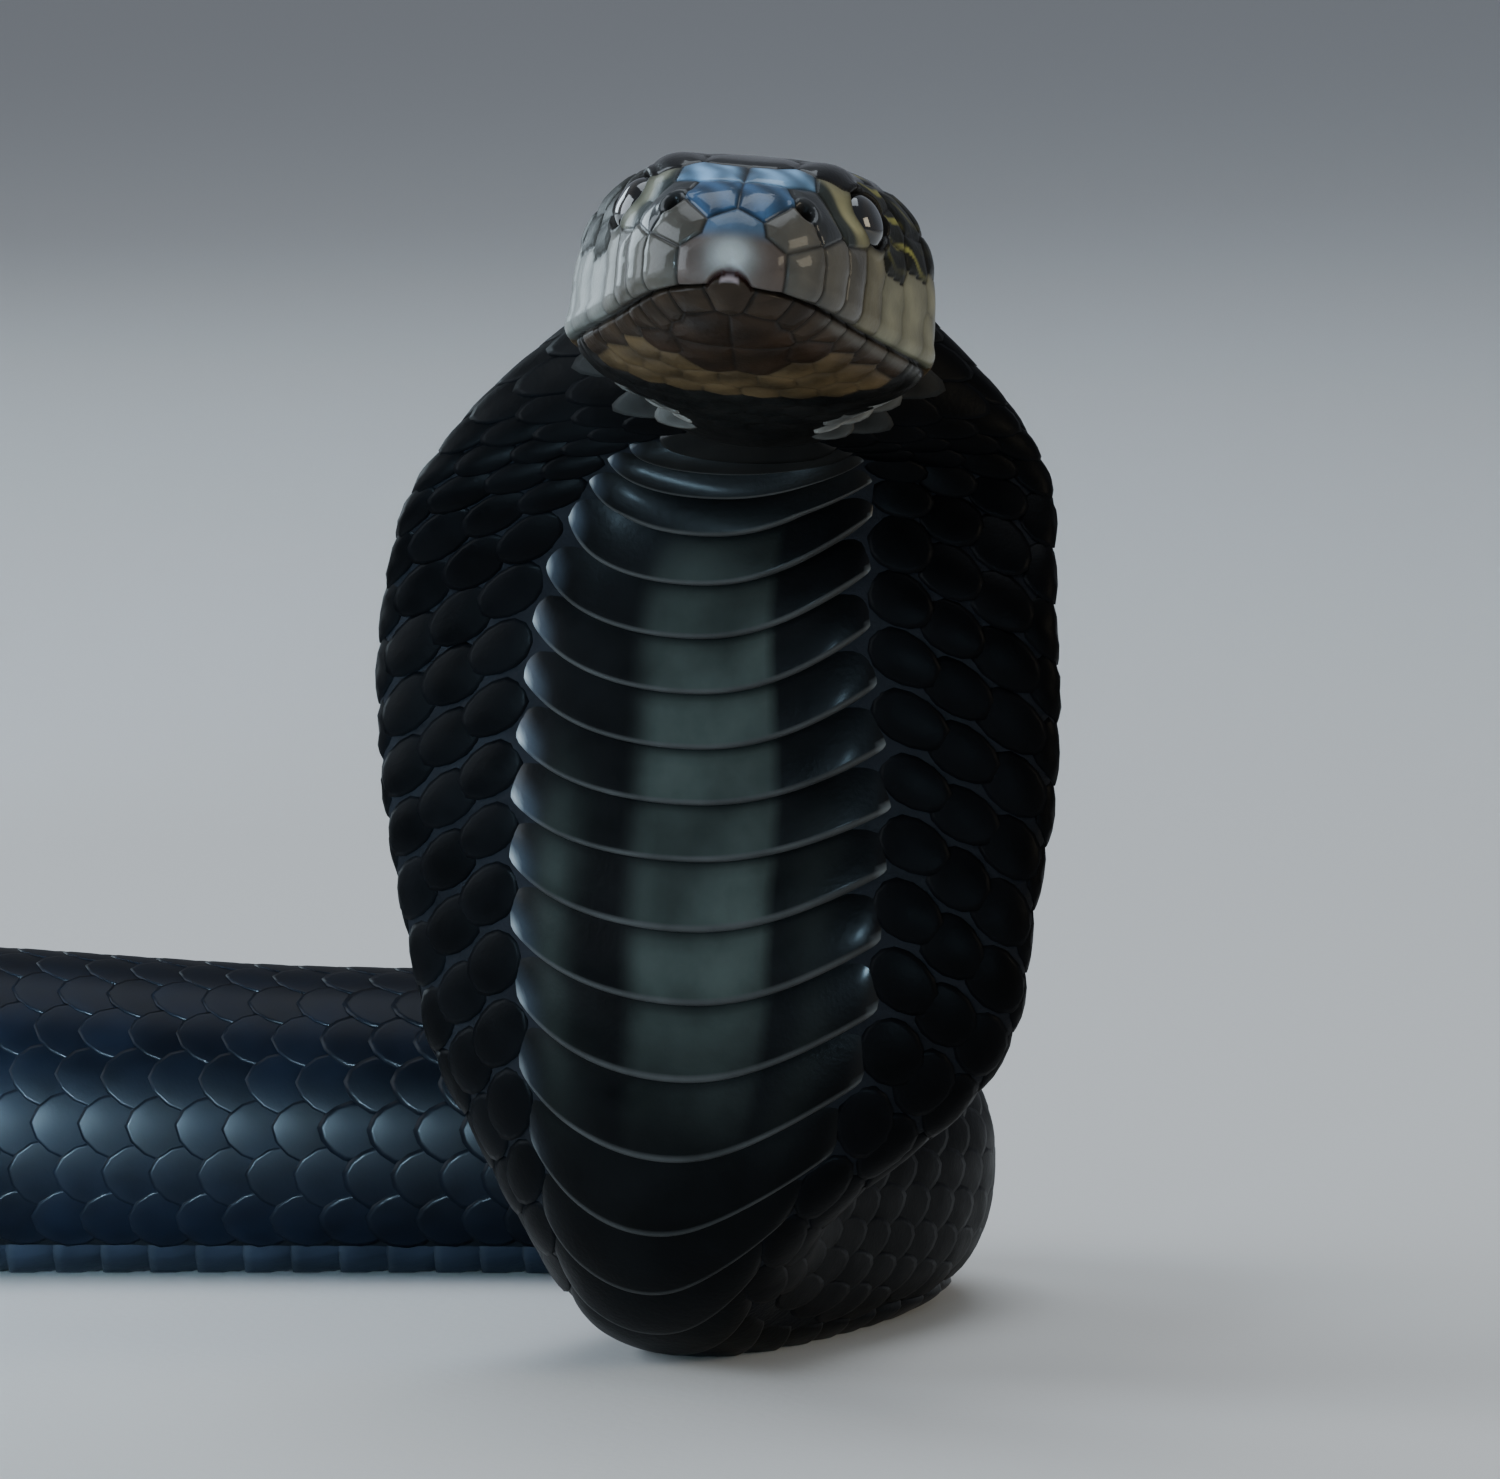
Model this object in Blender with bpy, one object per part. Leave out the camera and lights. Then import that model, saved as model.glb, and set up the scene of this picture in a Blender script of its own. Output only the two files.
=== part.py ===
"""Equatorial spitting cobra (Naja sumatrana), reared with its hood spread: a still, life-size model.

Metres, +Z up. The snake faces -Y and rests on z = 0. Sizes below are in millimetres and MM turns
them into metres. The origin is on the floor under the first stretch of belly that lies flat. The
body is one cross-section carried along a centreline that starts at the occiput, where the head meets
the neck, and runs to the tip of the tail. Lengths along that line are called s. Places on the head
are (d, u, v): d behind the tip of the snout, u to the snake's left and v above the front of the mouth.
"""

import math

import bmesh
import bpy
import numpy as np

MM = 0.001

# Pose of the reared part: how far each stretch is turned, in degrees, and its length. LEAN says how
# far sideways the body stands at each height.
HEAD_PITCH = 14.0
HEAD_YAW = 4.0
HEAD_ROLL = 4.5
HOOD_YAW = 20.0
BASE_YAW = 24.5
NECK_BEND = 22.0
UPRIGHT = 29.0
BASE_BEND = 50.0
LEAN = (
    (0, -13.4), (13, -11.4), (18, -7.2), (26, -1.2), (36, 1.2), (58, 1.2), (70, 1.5), (80, 2.6),
    (90, 5.3), (105, 7.4),
)
EVENNESS = 0.6
ORIGIN_S = 112.0

# Bends of the body on the ground, in order: length and turn in degrees, left turns positive.
GROUND_BENDS = (
    (88.0, 114.0),
    (74.0, 0.0),
    (165.0, 130.0),
    (190.0, -200.0),
    (90.0, 10.0),
    (165.0, -122.0),
    (187.0, 170.0),
)
STEP = 0.5
REST_SHARE = 0.965

# Where the reared part turns sideways: the start and length of each twist.
HOOD_TWIST = (14.0, 20.0)
BASE_TWIST = (42.0, 18.0)

# Cross-section along the body: (s, size).
HALF_WIDTH = (
    (0, 11.0), (4, 13.0), (7, 16.6), (11, 21.2), (16, 24.6), (20, 26.4), (25, 27.9), (30, 29.2),
    (36, 29.8), (43, 29.6), (49, 29.1), (54, 28.6), (60, 27.7), (65, 26.4), (70, 23.6), (76, 18.7),
    (84, 14.3), (94, 12.9), (104, 13.0), (130, 13.6), (190, 13.9), (235, 15.0), (350, 15.4), (520, 15.4),
    (650, 14.8), (780, 12.9), (860, 10.8), (892, 9.4), (930, 7.4), (980, 5.0), (1030, 2.5), (1060, 0.9),
)
BACK_DEPTH = (
    (0, 9.7), (10, 9.2), (20, 9.0), (35, 8.8), (50, 9.0), (65, 9.6), (80, 11.0), (95, 12.2),
    (110, 12.8), (130, 12.8), (190, 13.2), (235, 14.4), (350, 14.8), (520, 14.8), (650, 14.2),
    (780, 12.4), (860, 10.4), (892, 9.1), (930, 7.1), (980, 4.9), (1030, 2.5), (1060, 0.9),
)
BELLY_DEPTH = (
    (0, 9.7), (8, 9.4), (20, 8.6), (35, 8.5), (50, 8.8), (62, 9.8), (76, 12.4), (90, 13.6),
    (110, 13.6), (130, 13.6), (190, 13.9), (235, 15.0), (350, 15.2), (520, 15.2), (650, 14.6),
    (780, 12.7), (860, 10.6), (892, 9.3), (930, 7.3), (980, 5.0), (1030, 2.5), (1060, 0.9),
)
HOOD_SPREAD = ((0, 0.0), (5, 0.2), (12, 0.7), (20, 1.0), (58, 1.0), (75, 0.6), (90, 0.15), (105, 0.0))
BELLY_POWER = ((0, 2.0), (80, 2.0), (110, 2.5), (860, 2.5), (980, 2.1), (1060, 2.0))
HOOD_THINNING = 0.36
HOOD_CURL = 3.4
HOOD_CURL_POWER = 2.6

# Belly plates: their length, step and bow, and where they end round the section.
PLATE_PITCH = 4.9
PLATE_LIFT = 0.55
PLATE_GRIP = 0.93
PLATE_BOW = 4.9
PLATE_HALF_ANGLE = ((0, 27.0), (8, 28.0), (20, 30.0), (32, 31.5), (45, 33.5), (60, 35.5), (90, 36.0))
PLATE_RIM_ANGLE = 1.6
PLATE_COLUMNS = 12
SIDE_COLUMNS = 30
BOW_STRENGTH = ((0, 0.0), (12, 1.0), (86, 1.0), (120, 0.0), (1060, 0.0))

# Head: half-width, crown, chin, widest level, mouth line and the roundness of the section.
HEAD_LENGTH = 37.0
NAPE_LEVEL = 2.5
HEAD_WIDTH = (
    (0.3, 2.6), (0.8, 4.1), (2.5, 6.4), (5, 8.0), (8, 9.2), (12, 10.5), (16, 12.0), (20, 13.6),
    (24, 14.7), (28, 14.5), (32, 13.0), (37, 11.0),
)
HEAD_TOP = (
    (0.3, 2.7), (1.5, 4.7), (3, 6.3), (6, 8.2), (10, 10.2), (15, 11.6), (20, 12.6), (25, 13.1),
    (30, 13.0), (37, 12.2),
)
HEAD_BOTTOM = (
    (0.3, -1.6), (1.2, -2.5), (3, -3.6), (6, -4.6), (10, -5.4), (15, -6.0), (20, -6.4), (25, -6.6),
    (30, -6.9), (37, -7.2),
)
WIDEST_LEVEL = ((0.3, 1.0), (3, 1.5), (8, 1.2), (12, 0.9), (18, -0.2), (25, -0.8), (30, 0.6), (37, 2.5))
MOUTH_LEVEL = ((0.3, -1.3), (1, -1.8), (3, -2.0), (7, -2.2), (14, -2.4), (20, -2.6), (27, -2.6), (37, -3.2))
CROWN_POWER = ((0.3, 2.1), (5, 2.4), (11, 3.0), (21, 3.0), (29, 2.5), (37, 2.0))
CHIN_POWER = ((0.3, 2.1), (8, 2.3), (20, 2.4), (30, 2.2), (37, 2.0))
LIP_SWELL = 0.35
LIP_HEIGHT = 14.0
LIP_START = 4.0
LIP_END = 28.0
LIP_FADE = 6.0
BROW_SWELL = 0.6
BROW_AT = 12.4
BROW_LENGTH = 3.4
BROW_ANGLE = 62.0
BROW_SPAN = 13.0
LORE_HOLLOW = 0.8
LORE_AT = 8.2
LORE_LENGTH = 2.3
LORE_ANGLE = 34.0
LORE_SPAN = 18.0
JAW_INSET = 0.45
JAW_START = 1.0
JAW_TIP_LEVEL = -1.8
JAW_REAR_LEVEL = -5.4
JAW_INSET_END = 32.0
JAW_INSET_FADE = 6.0
SNOUT_START = 0.3
SNOUT_TIP = (0.05, 0.0, 1.1)
MOUTH_GAP = 0.3
HEAD_RINGS = 40
HEAD_COLUMNS = 40
JAW_RINGS = 26
JAW_COLUMNS = 22
INNER_COLUMNS = 6
EVEN_SHARE = 0.35
TIP_CROWDING = 2.2

# Eyes and nostrils.
EYE_AT = (12.1, 7.95, 6.9)
EYE_RADIUS = 2.55
NOSTRIL_AT = (3.5, 5.3, 5.1)
NOSTRIL_RADIUS = 0.85
BALL_COLUMNS = 20
BALL_RINGS = 12
GAP = 0.3

# Where the body is divided: node name and the s of its end nearer the tail. A plated length also
# has its rows of points to a plate.
PLATED_LENGTHS = (("nape", 22.0, 3), ("hood", 80.0, 2), ("lower_neck", 130.0, 2))
PLAIN_LENGTHS = (
    ("trunk_1", 225.0), ("trunk_2", 315.0), ("trunk_3", 410.0), ("trunk_4", 500.0),
    ("trunk_5", 595.0), ("trunk_6", 690.0), ("trunk_7", 790.0), ("trunk_8", 890.0),
    ("tail_base", 975.0), ("tail_tip", 1060.0),
)
TRUNK_RING_PITCH = 7.5
TRUNK_COLUMNS = 24
PLATED_FROM = 3.0
PLATED_TO = 108.0
ROW_CLEARANCE = 0.8

# Colours: red, green, blue and roughness.
BLACK_BLUE = (0.012, 0.015, 0.022, 0.30)
HEAD_GREY = (0.055, 0.058, 0.062, 0.35)
CHIN_BROWN = (0.22, 0.15, 0.09, 0.45)
EYE_BLACK = (0.006, 0.007, 0.008, 0.06)


def table(points, rooted=False):
    """Smooth curve through the points that never overshoots them: a monotone cubic.

    A rooted curve is smooth over the square root of its input, so that it rounds off a blunt tip.
    """
    x = np.array([p[0] for p in points], dtype=float)
    y = np.array([p[1] for p in points], dtype=float)
    if rooted:
        x = np.sqrt(x)
    run = np.diff(x)
    slope = np.diff(y) / run
    tangent = np.zeros(len(x))
    tangent[0] = slope[0]
    tangent[-1] = slope[-1]
    for i in range(1, len(x) - 1):
        if slope[i - 1] * slope[i] > 0:
            before = 2 * run[i] + run[i - 1]
            after = run[i] + 2 * run[i - 1]
            tangent[i] = (before + after) / (before / slope[i - 1] + after / slope[i])

    def curve(value):
        v = np.clip(value, 0, None)
        v = np.sqrt(v) if rooted else v
        v = np.clip(v, x[0], x[-1])
        i = np.clip(np.searchsorted(x, v) - 1, 0, len(run) - 1)
        t = (v - x[i]) / run[i]
        near = (1 + 2 * t) * (1 - t) ** 2 * y[i] + t * (1 - t) ** 2 * run[i] * tangent[i]
        far = t * t * (3 - 2 * t) * y[i + 1] + t * t * (t - 1) * run[i] * tangent[i + 1]
        return near + far

    return curve


lean = table(LEAN)
half_width = table(HALF_WIDTH)
back_depth = table(BACK_DEPTH)
belly_depth = table(BELLY_DEPTH)
hood_spread = table(HOOD_SPREAD)
belly_power = table(BELLY_POWER)
bow_strength = table(BOW_STRENGTH)
plate_half_angle = table(PLATE_HALF_ANGLE)
head_width = table(HEAD_WIDTH, rooted=True)
head_top = table(HEAD_TOP, rooted=True)
head_bottom = table(HEAD_BOTTOM, rooted=True)
widest_level = table(WIDEST_LEVEL)
mouth_level = table(MOUTH_LEVEL)
crown_power = table(CROWN_POWER)
chin_power = table(CHIN_POWER)


def soft_turn(t):
    """Share of a bend done at share t of its length: slow at both ends and quickest halfway."""
    t = np.clip(t, 0, 1)
    return t - np.sin(2 * np.pi * t) / (2 * np.pi)


def even_turn(t):
    """As soft_turn, but with the bend spread more evenly along its length."""
    return EVENNESS * np.clip(t, 0, 1) + (1 - EVENNESS) * soft_turn(t)


def centreline():
    """Places and directions along the body: towards the tail, up out of the back, and to the left."""
    base_start = NECK_BEND + UPRIGHT
    base_end = base_start + BASE_BEND
    length = base_end + sum(bend[0] for bend in GROUND_BENDS)
    s = np.arange(0, length + STEP, STEP)
    pitch = HEAD_PITCH + (90 - HEAD_PITCH) * even_turn(s / NECK_BEND)
    pitch -= 90 * even_turn((s - base_start) / BASE_BEND)
    yaw = HEAD_YAW + (HOOD_YAW - HEAD_YAW) * soft_turn((s - HOOD_TWIST[0]) / HOOD_TWIST[1])
    yaw += (BASE_YAW - HOOD_YAW) * soft_turn((s - BASE_TWIST[0]) / BASE_TWIST[1])
    start = base_end
    for bend_length, turn in GROUND_BENDS:
        yaw -= turn * soft_turn((s - start) / bend_length)
        start += bend_length
    pitch = np.radians(pitch)
    yaw = np.radians(yaw)
    along = np.stack([np.sin(yaw) * np.cos(pitch), np.cos(yaw) * np.cos(pitch), -np.sin(pitch)], axis=1)
    back = np.stack([np.sin(yaw) * np.sin(pitch), np.cos(yaw) * np.sin(pitch), np.cos(pitch)], axis=1)
    left = np.cross(along, back)
    roll = np.radians(HEAD_ROLL) * (1 - soft_turn(s / (NECK_BEND + 4)))[:, None]
    tilted_back = back * np.cos(roll) + left * np.sin(roll)
    left = left * np.cos(roll) - back * np.sin(roll)
    middle = (along[1:] + along[:-1]) * 0.5 * STEP
    place = np.concatenate([np.zeros((1, 3)), np.cumsum(middle, axis=0)])
    rest = belly_depth(s) * REST_SHARE
    ground = s >= base_end
    first = int(np.argmax(ground))
    place[:, 2] += rest[first] - place[first, 2]
    place[ground, 2] = rest[ground]
    place[:, 0] += lean(place[:, 2])
    origin = int(round(ORIGIN_S / STEP))
    place[:, :2] -= place[origin, :2]
    return s, place, along, tilted_back, left


LINE_S, LINE_PLACE, LINE_ALONG, LINE_BACK, LINE_LEFT = centreline()


def along_line(values, s):
    """Vectors of the centreline read at any s."""
    return np.stack([np.interp(s, LINE_S, values[:, k]) for k in range(3)], axis=-1)


def signed_power(value, power):
    """The value's size raised to the power, with its sign kept."""
    return np.sign(value) * np.abs(value) ** power


def body_point(s, angle, lift=0.0):
    """Point of the body's surface: angle 0 is its left side, 90 degrees its back, 270 its belly.

    The section is half an ellipse over the back and half a squarer one under the belly. Where the
    hood spreads, its edges are thinner and curl forwards. What would lie under the floor is flat on it.
    """
    side = np.cos(angle)
    height = np.sin(angle)
    over = height >= 0
    spread = hood_spread(s)
    power = 2 / np.where(over, 2.0, belly_power(s))
    across = half_width(s) * signed_power(side, power)
    up = np.where(over, back_depth(s), belly_depth(s)) * signed_power(height, power)
    up = up * (1 - HOOD_THINNING * spread * (1 - height * height))
    up = up - HOOD_CURL * spread * np.abs(side) ** HOOD_CURL_POWER
    up = up - lift
    place = along_line(LINE_PLACE, s)
    place = place + along_line(LINE_LEFT, s) * across[..., None] + along_line(LINE_BACK, s) * up[..., None]
    place[..., 2] = np.maximum(place[..., 2], 0)
    return place * MM


def plate_angles(s):
    """Angles round the section at s, with one close pair at each end of the belly plates."""
    half = math.radians(float(plate_half_angle(s)))
    rim = math.radians(PLATE_RIM_ANGLE)
    belly = 1.5 * math.pi + np.linspace(-half, half, PLATE_COLUMNS + 1)
    sides = 1.5 * math.pi + np.linspace(half + rim, 2 * math.pi - half - rim, SIDE_COLUMNS + 1)
    angles = np.concatenate([belly, sides])
    on_plate = np.concatenate([np.ones(len(belly)), np.zeros(len(sides))])
    bow = np.concatenate([1 - ((belly - 1.5 * math.pi) / half) ** 2, np.zeros(len(sides))])
    return angles, on_plate, bow


def new_object(name, bm, look, smooth=True):
    """Object of the given name from the bmesh, its faces outwards and its material on."""
    bmesh.ops.recalc_face_normals(bm, faces=bm.faces)
    mesh = bpy.data.meshes.new(name)
    bm.to_mesh(mesh)
    bm.free()
    if smooth:
        mesh.shade_smooth()
        mesh.set_sharp_from_angle(angle=math.radians(40))
    thing = bpy.data.objects.new(name, mesh)
    bpy.context.scene.collection.objects.link(thing)
    material = bpy.data.materials.new(name + "_skin")
    material.use_nodes = True
    shader = material.node_tree.nodes["Principled BSDF"]
    shader.inputs["Base Color"].default_value = (look[0], look[1], look[2], 1.0)
    shader.inputs["Roughness"].default_value = look[3]
    shader.inputs["Metallic"].default_value = 0.0
    mesh.materials.append(material)
    return thing


def loft(name, rings, first_centre, last_centre, look):
    """Closed body through the rings, with a fan of triangles over each end."""
    bm = bmesh.new()
    rows = [[bm.verts.new(point) for point in ring] for ring in rings]
    count = len(rows[0])
    for near, far in zip(rows, rows[1:]):
        for i in range(count):
            j = (i + 1) % count
            bm.faces.new((near[i], near[j], far[j], far[i]))
    for row, centre in ((rows[0], first_centre), (rows[-1], last_centre)):
        middle = bm.verts.new(centre)
        for i in range(count):
            bm.faces.new((row[i], row[(i + 1) % count], middle))
    return new_object(name, bm, look)


def plate_rows(start, end, rows_to_plate):
    """Rows of a plated length as (s, lift): each plate rises to its edge, where the next starts sunk."""
    rows = [(start, 0.0)]
    first = math.ceil((start - PLATED_FROM) / PLATE_PITCH)
    base = PLATED_FROM + max(first - 1, 0) * PLATE_PITCH
    while base + PLATE_PITCH < min(end, PLATED_TO) - ROW_CLEARANCE:
        for k in range(1, rows_to_plate):
            share = k / (rows_to_plate - 1)
            s = base + share * PLATE_GRIP * PLATE_PITCH
            if s > start + ROW_CLEARANCE:
                rows.append((s, PLATE_LIFT * share))
        if base + PLATE_PITCH > start + ROW_CLEARANCE:
            rows.append((base + PLATE_PITCH, 0.0))
        base += PLATE_PITCH
    while rows[-1][0] < end - TRUNK_RING_PITCH:
        rows.append((rows[-1][0] + PLATE_PITCH, 0.0))
    rows.append((end, 0.0))
    return rows


def plated_length(name, start, end, rows_to_plate, look):
    """Length of the body whose belly plates stand out, each bowed towards the tail."""
    rings = []
    for s, lift in plate_rows(start, end, rows_to_plate):
        angles, on_plate, bow = plate_angles(s)
        shifted = s + PLATE_BOW * bow * bow_strength(s)
        rings.append(body_point(shifted, angles, lift * on_plate))
    centres = [along_line(LINE_PLACE, s) * MM for s in (start, end)]
    return loft(name, rings, centres[0], centres[1], look)


def plain_length(name, start, end, look):
    """Length of the body on the ground, its belly flat on the floor."""
    count = max(2, round((end - start) / TRUNK_RING_PITCH))
    angles = np.arange(TRUNK_COLUMNS) * 2 * math.pi / TRUNK_COLUMNS
    rings = [body_point(np.full(TRUNK_COLUMNS, s), angles) for s in np.linspace(start, end, count + 1)]
    centres = [along_line(LINE_PLACE, s) * MM for s in (start, end)]
    return loft(name, rings, centres[0], centres[1], look)


def head_place(d, u, v):
    """World place of a point given in the head's own measures."""
    forward = (HEAD_LENGTH - d)[..., None] * -LINE_ALONG[0]
    up = (v - NAPE_LEVEL)[..., None] * LINE_BACK[0]
    return (LINE_PLACE[0] + forward + up + u[..., None] * LINE_LEFT[0]) * MM


def mouth_angle(d):
    """Angle below the widest level at which the section at d meets the mouth line."""
    level = widest_level(d)
    share = np.clip((level - mouth_level(d)) / (level - head_bottom(d)), 0.02, 0.98)
    return np.arcsin(share ** (chin_power(d) / 2))


def swelling(d, angle):
    """How far the head's surface stands out at the brow and draws in before the eye."""
    degrees = np.degrees(angle)
    brow = np.exp(-((d - BROW_AT) / BROW_LENGTH) ** 2 - ((degrees - BROW_ANGLE) / BROW_SPAN) ** 2)
    lore = np.exp(-((d - LORE_AT) / LORE_LENGTH) ** 2 - ((degrees - LORE_ANGLE) / LORE_SPAN) ** 2)
    lip = np.exp(-((degrees + np.degrees(mouth_angle(d))) / LIP_HEIGHT) ** 2)
    lip_share = np.clip((LIP_END - d) / LIP_FADE, 0, 1) * np.clip(d / LIP_START, 0, 1)
    return BROW_SWELL * brow - LORE_HOLLOW * lore + LIP_SWELL * lip * lip_share


def head_outline(d, angle, out):
    """Half-section of the head at d: sideways and upward distance at an angle from the widest level."""
    over = angle >= 0
    level = widest_level(d)
    power = 2 / np.where(over, crown_power(d), chin_power(d))
    depth = np.where(over, head_top(d) + out - level, level - head_bottom(d))
    across = (head_width(d) + out) * np.abs(np.cos(angle)) ** power
    up = level + depth * signed_power(np.sin(angle), power)
    return across, up


def head_ring(d, low, high, count, inner_level, inset=None):
    """Closed ring: the outline from the left lip round to the right one, then back across the mouth."""
    angle = np.linspace(low, high, count // 2 + 1)
    d_here = np.full(len(angle), d)
    out = swelling(d_here, angle) if inset is None else np.full(len(angle), -inset)
    across, up = head_outline(d_here, angle, out)
    u = np.concatenate([across, -across[-2::-1]])
    v = np.concatenate([up, up[-2::-1]])
    inner = np.linspace(-1, 1, INNER_COLUMNS + 2)[1:-1] * across[0]
    u = np.concatenate([u, inner])
    v = np.concatenate([v, np.full(len(inner), inner_level)])
    v[0] = inner_level
    v[2 * len(angle) - 2] = inner_level
    return head_place(np.full(len(u), d), u, v)


def tip_spacing(start, end, count):
    """Places along the head, closest together at the snout."""
    t = np.linspace(0, 1, count)
    return start + (end - start) * (EVEN_SHARE * t + (1 - EVEN_SHARE) * t ** TIP_CROWDING)


def head_spot(d, u, v):
    """World place of one point given in the head's own measures."""
    return head_place(np.array(d), np.array(u), np.array(v))


def make_head():
    """Upper head with the upper lips, cut for the eyes and nostrils."""
    rings = []
    rear_d = HEAD_LENGTH - GAP / 2
    for d in tip_spacing(SNOUT_START, rear_d, HEAD_RINGS):
        low = -float(mouth_angle(d))
        rings.append(head_ring(d, low, math.pi / 2, HEAD_COLUMNS, float(mouth_level(d)) + MOUTH_GAP / 2))
    head = loft("head", rings, head_spot(*SNOUT_TIP), head_spot(rear_d, 0.0, NAPE_LEVEL), HEAD_GREY)
    for side in (1, -1):
        cut_ball(head, "socket", EYE_AT, side, EYE_RADIUS + GAP)
        cut_ball(head, "nostril", NOSTRIL_AT, side, NOSTRIL_RADIUS)
    return head


def make_lower_jaw():
    """Lower jaw and chin, set in a little under the upper lips, back to the occiput."""
    rings = []
    rear_d = HEAD_LENGTH - GAP / 2
    for d in tip_spacing(JAW_START, rear_d, JAW_RINGS):
        low = -float(mouth_angle(d))
        inset = JAW_INSET * float(np.clip((JAW_INSET_END - d) / JAW_INSET_FADE, 0, 1))
        level = float(mouth_level(d)) - MOUTH_GAP / 2
        rings.append(head_ring(d, low, -math.pi / 2, JAW_COLUMNS, level, inset))
    front = head_spot(JAW_START, 0.0, JAW_TIP_LEVEL)
    return loft("lower_jaw", rings, front, head_spot(rear_d, 0.0, JAW_REAR_LEVEL), CHIN_BROWN)


def ball(place, side, radius):
    """Bmesh of a ball at a place on the head, on the left side or the right one."""
    bm = bmesh.new()
    bmesh.ops.create_uvsphere(bm, u_segments=BALL_COLUMNS, v_segments=BALL_RINGS, radius=radius * MM)
    bmesh.ops.translate(bm, verts=bm.verts, vec=head_spot(place[0], place[1] * side, place[2]))
    return bm


def cut_ball(target, kind, place, side, radius):
    """Cuts a round hollow into the target."""
    name = kind + ("_left" if side > 0 else "_right")
    cutter = new_object(name + "_cutter", ball(place, side, radius), EYE_BLACK)
    cutter.hide_render = True
    cutter.display_type = "WIRE"
    cut = target.modifiers.new(name, "BOOLEAN")
    cut.operation = "DIFFERENCE"
    cut.solver = "EXACT"
    cut.object = cutter


def make_eyes():
    """Both eyes, each a ball with a little room round it in its socket."""
    for name, side in (("eye_left", 1), ("eye_right", -1)):
        new_object(name, ball(EYE_AT, side, EYE_RADIUS), EYE_BLACK)


def make_body():
    """The body behind the head, in lengths that meet face to face."""
    start = 0.0
    for name, end, rows_to_plate in PLATED_LENGTHS:
        plated_length(name, start + GAP / 2, end - GAP / 2, rows_to_plate, BLACK_BLUE)
        start = end
    for name, end in PLAIN_LENGTHS:
        plain_length(name, start + GAP / 2, end - GAP / 2, BLACK_BLUE)
        start = end


def main():
    """Clears the scene and makes the whole snake."""
    for thing in list(bpy.data.objects):
        bpy.data.objects.remove(thing, do_unlink=True)
    make_head()
    make_lower_jaw()
    make_eyes()
    make_body()


main()
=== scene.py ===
"""Looks of the equatorial spitting cobra (Naja sumatrana), reared with its hood spread.

The body's shape is the CAD model's own: one cross-section carried along a centreline. Lengths along
it are called s, in millimetres from the occiput, and run on forwards into the head as negative
values. Angles round the body start at the snake's left side and pass over its back. Places on the
head are (d, u, v): d behind the tip of the snout, u to the snake's left, v above the front of the
mouth. Each operator makes one piece, or one group of like pieces, over that shape.
"""

import math

import bpy
import numpy as np
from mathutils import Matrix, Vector


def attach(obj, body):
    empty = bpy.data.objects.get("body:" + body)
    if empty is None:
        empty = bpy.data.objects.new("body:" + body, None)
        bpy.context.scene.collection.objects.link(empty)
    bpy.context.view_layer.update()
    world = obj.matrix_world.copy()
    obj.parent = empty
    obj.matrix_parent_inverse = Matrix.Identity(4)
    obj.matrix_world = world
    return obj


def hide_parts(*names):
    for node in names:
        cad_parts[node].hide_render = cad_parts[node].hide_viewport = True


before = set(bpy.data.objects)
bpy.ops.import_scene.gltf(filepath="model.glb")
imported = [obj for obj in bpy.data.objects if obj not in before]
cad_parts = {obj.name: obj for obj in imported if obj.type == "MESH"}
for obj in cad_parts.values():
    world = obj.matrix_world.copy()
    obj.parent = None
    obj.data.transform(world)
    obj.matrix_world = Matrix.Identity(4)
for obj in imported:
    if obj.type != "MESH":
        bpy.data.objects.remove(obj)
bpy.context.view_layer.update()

bl_info = {
    "name": "Spitting cobra",
    "version": (1, 0, 0),
    "blender": (4, 5, 0),
    "location": "View3D > Sidebar > Cobra",
    "description": "Skin, scales, belly plates, eyes and studio of a still, life-size spitting cobra",
    "category": "Object",
}

MM = 0.001


def table(points, rooted=False):
    """Smooth curve through the points that never overshoots them: a monotone cubic.

    A rooted curve is smooth over the square root of its input, so that it rounds off a blunt tip.
    """
    x = np.array([p[0] for p in points], dtype=float)
    y = np.array([p[1] for p in points], dtype=float)
    if rooted:
        x = np.sqrt(x)
    run = np.diff(x)
    slope = np.diff(y) / run
    tangent = np.zeros(len(x))
    tangent[0] = slope[0]
    tangent[-1] = slope[-1]
    for i in range(1, len(x) - 1):
        if slope[i - 1] * slope[i] > 0:
            before = 2 * run[i] + run[i - 1]
            after = run[i] + 2 * run[i - 1]
            tangent[i] = (before + after) / (before / slope[i - 1] + after / slope[i])

    def curve(value):
        v = np.sqrt(np.clip(value, 0, None)) if rooted else np.asarray(value, dtype=float)
        v = np.clip(v, x[0], x[-1])
        i = np.clip(np.searchsorted(x, v) - 1, 0, len(run) - 1)
        t = (v - x[i]) / run[i]
        near = (1 + 2 * t) * (1 - t) ** 2 * y[i] + t * (1 - t) ** 2 * run[i] * tangent[i]
        far = t * t * (3 - 2 * t) * y[i + 1] + t * t * (t - 1) * run[i] * tangent[i + 1]
        return near + far

    return curve


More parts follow.
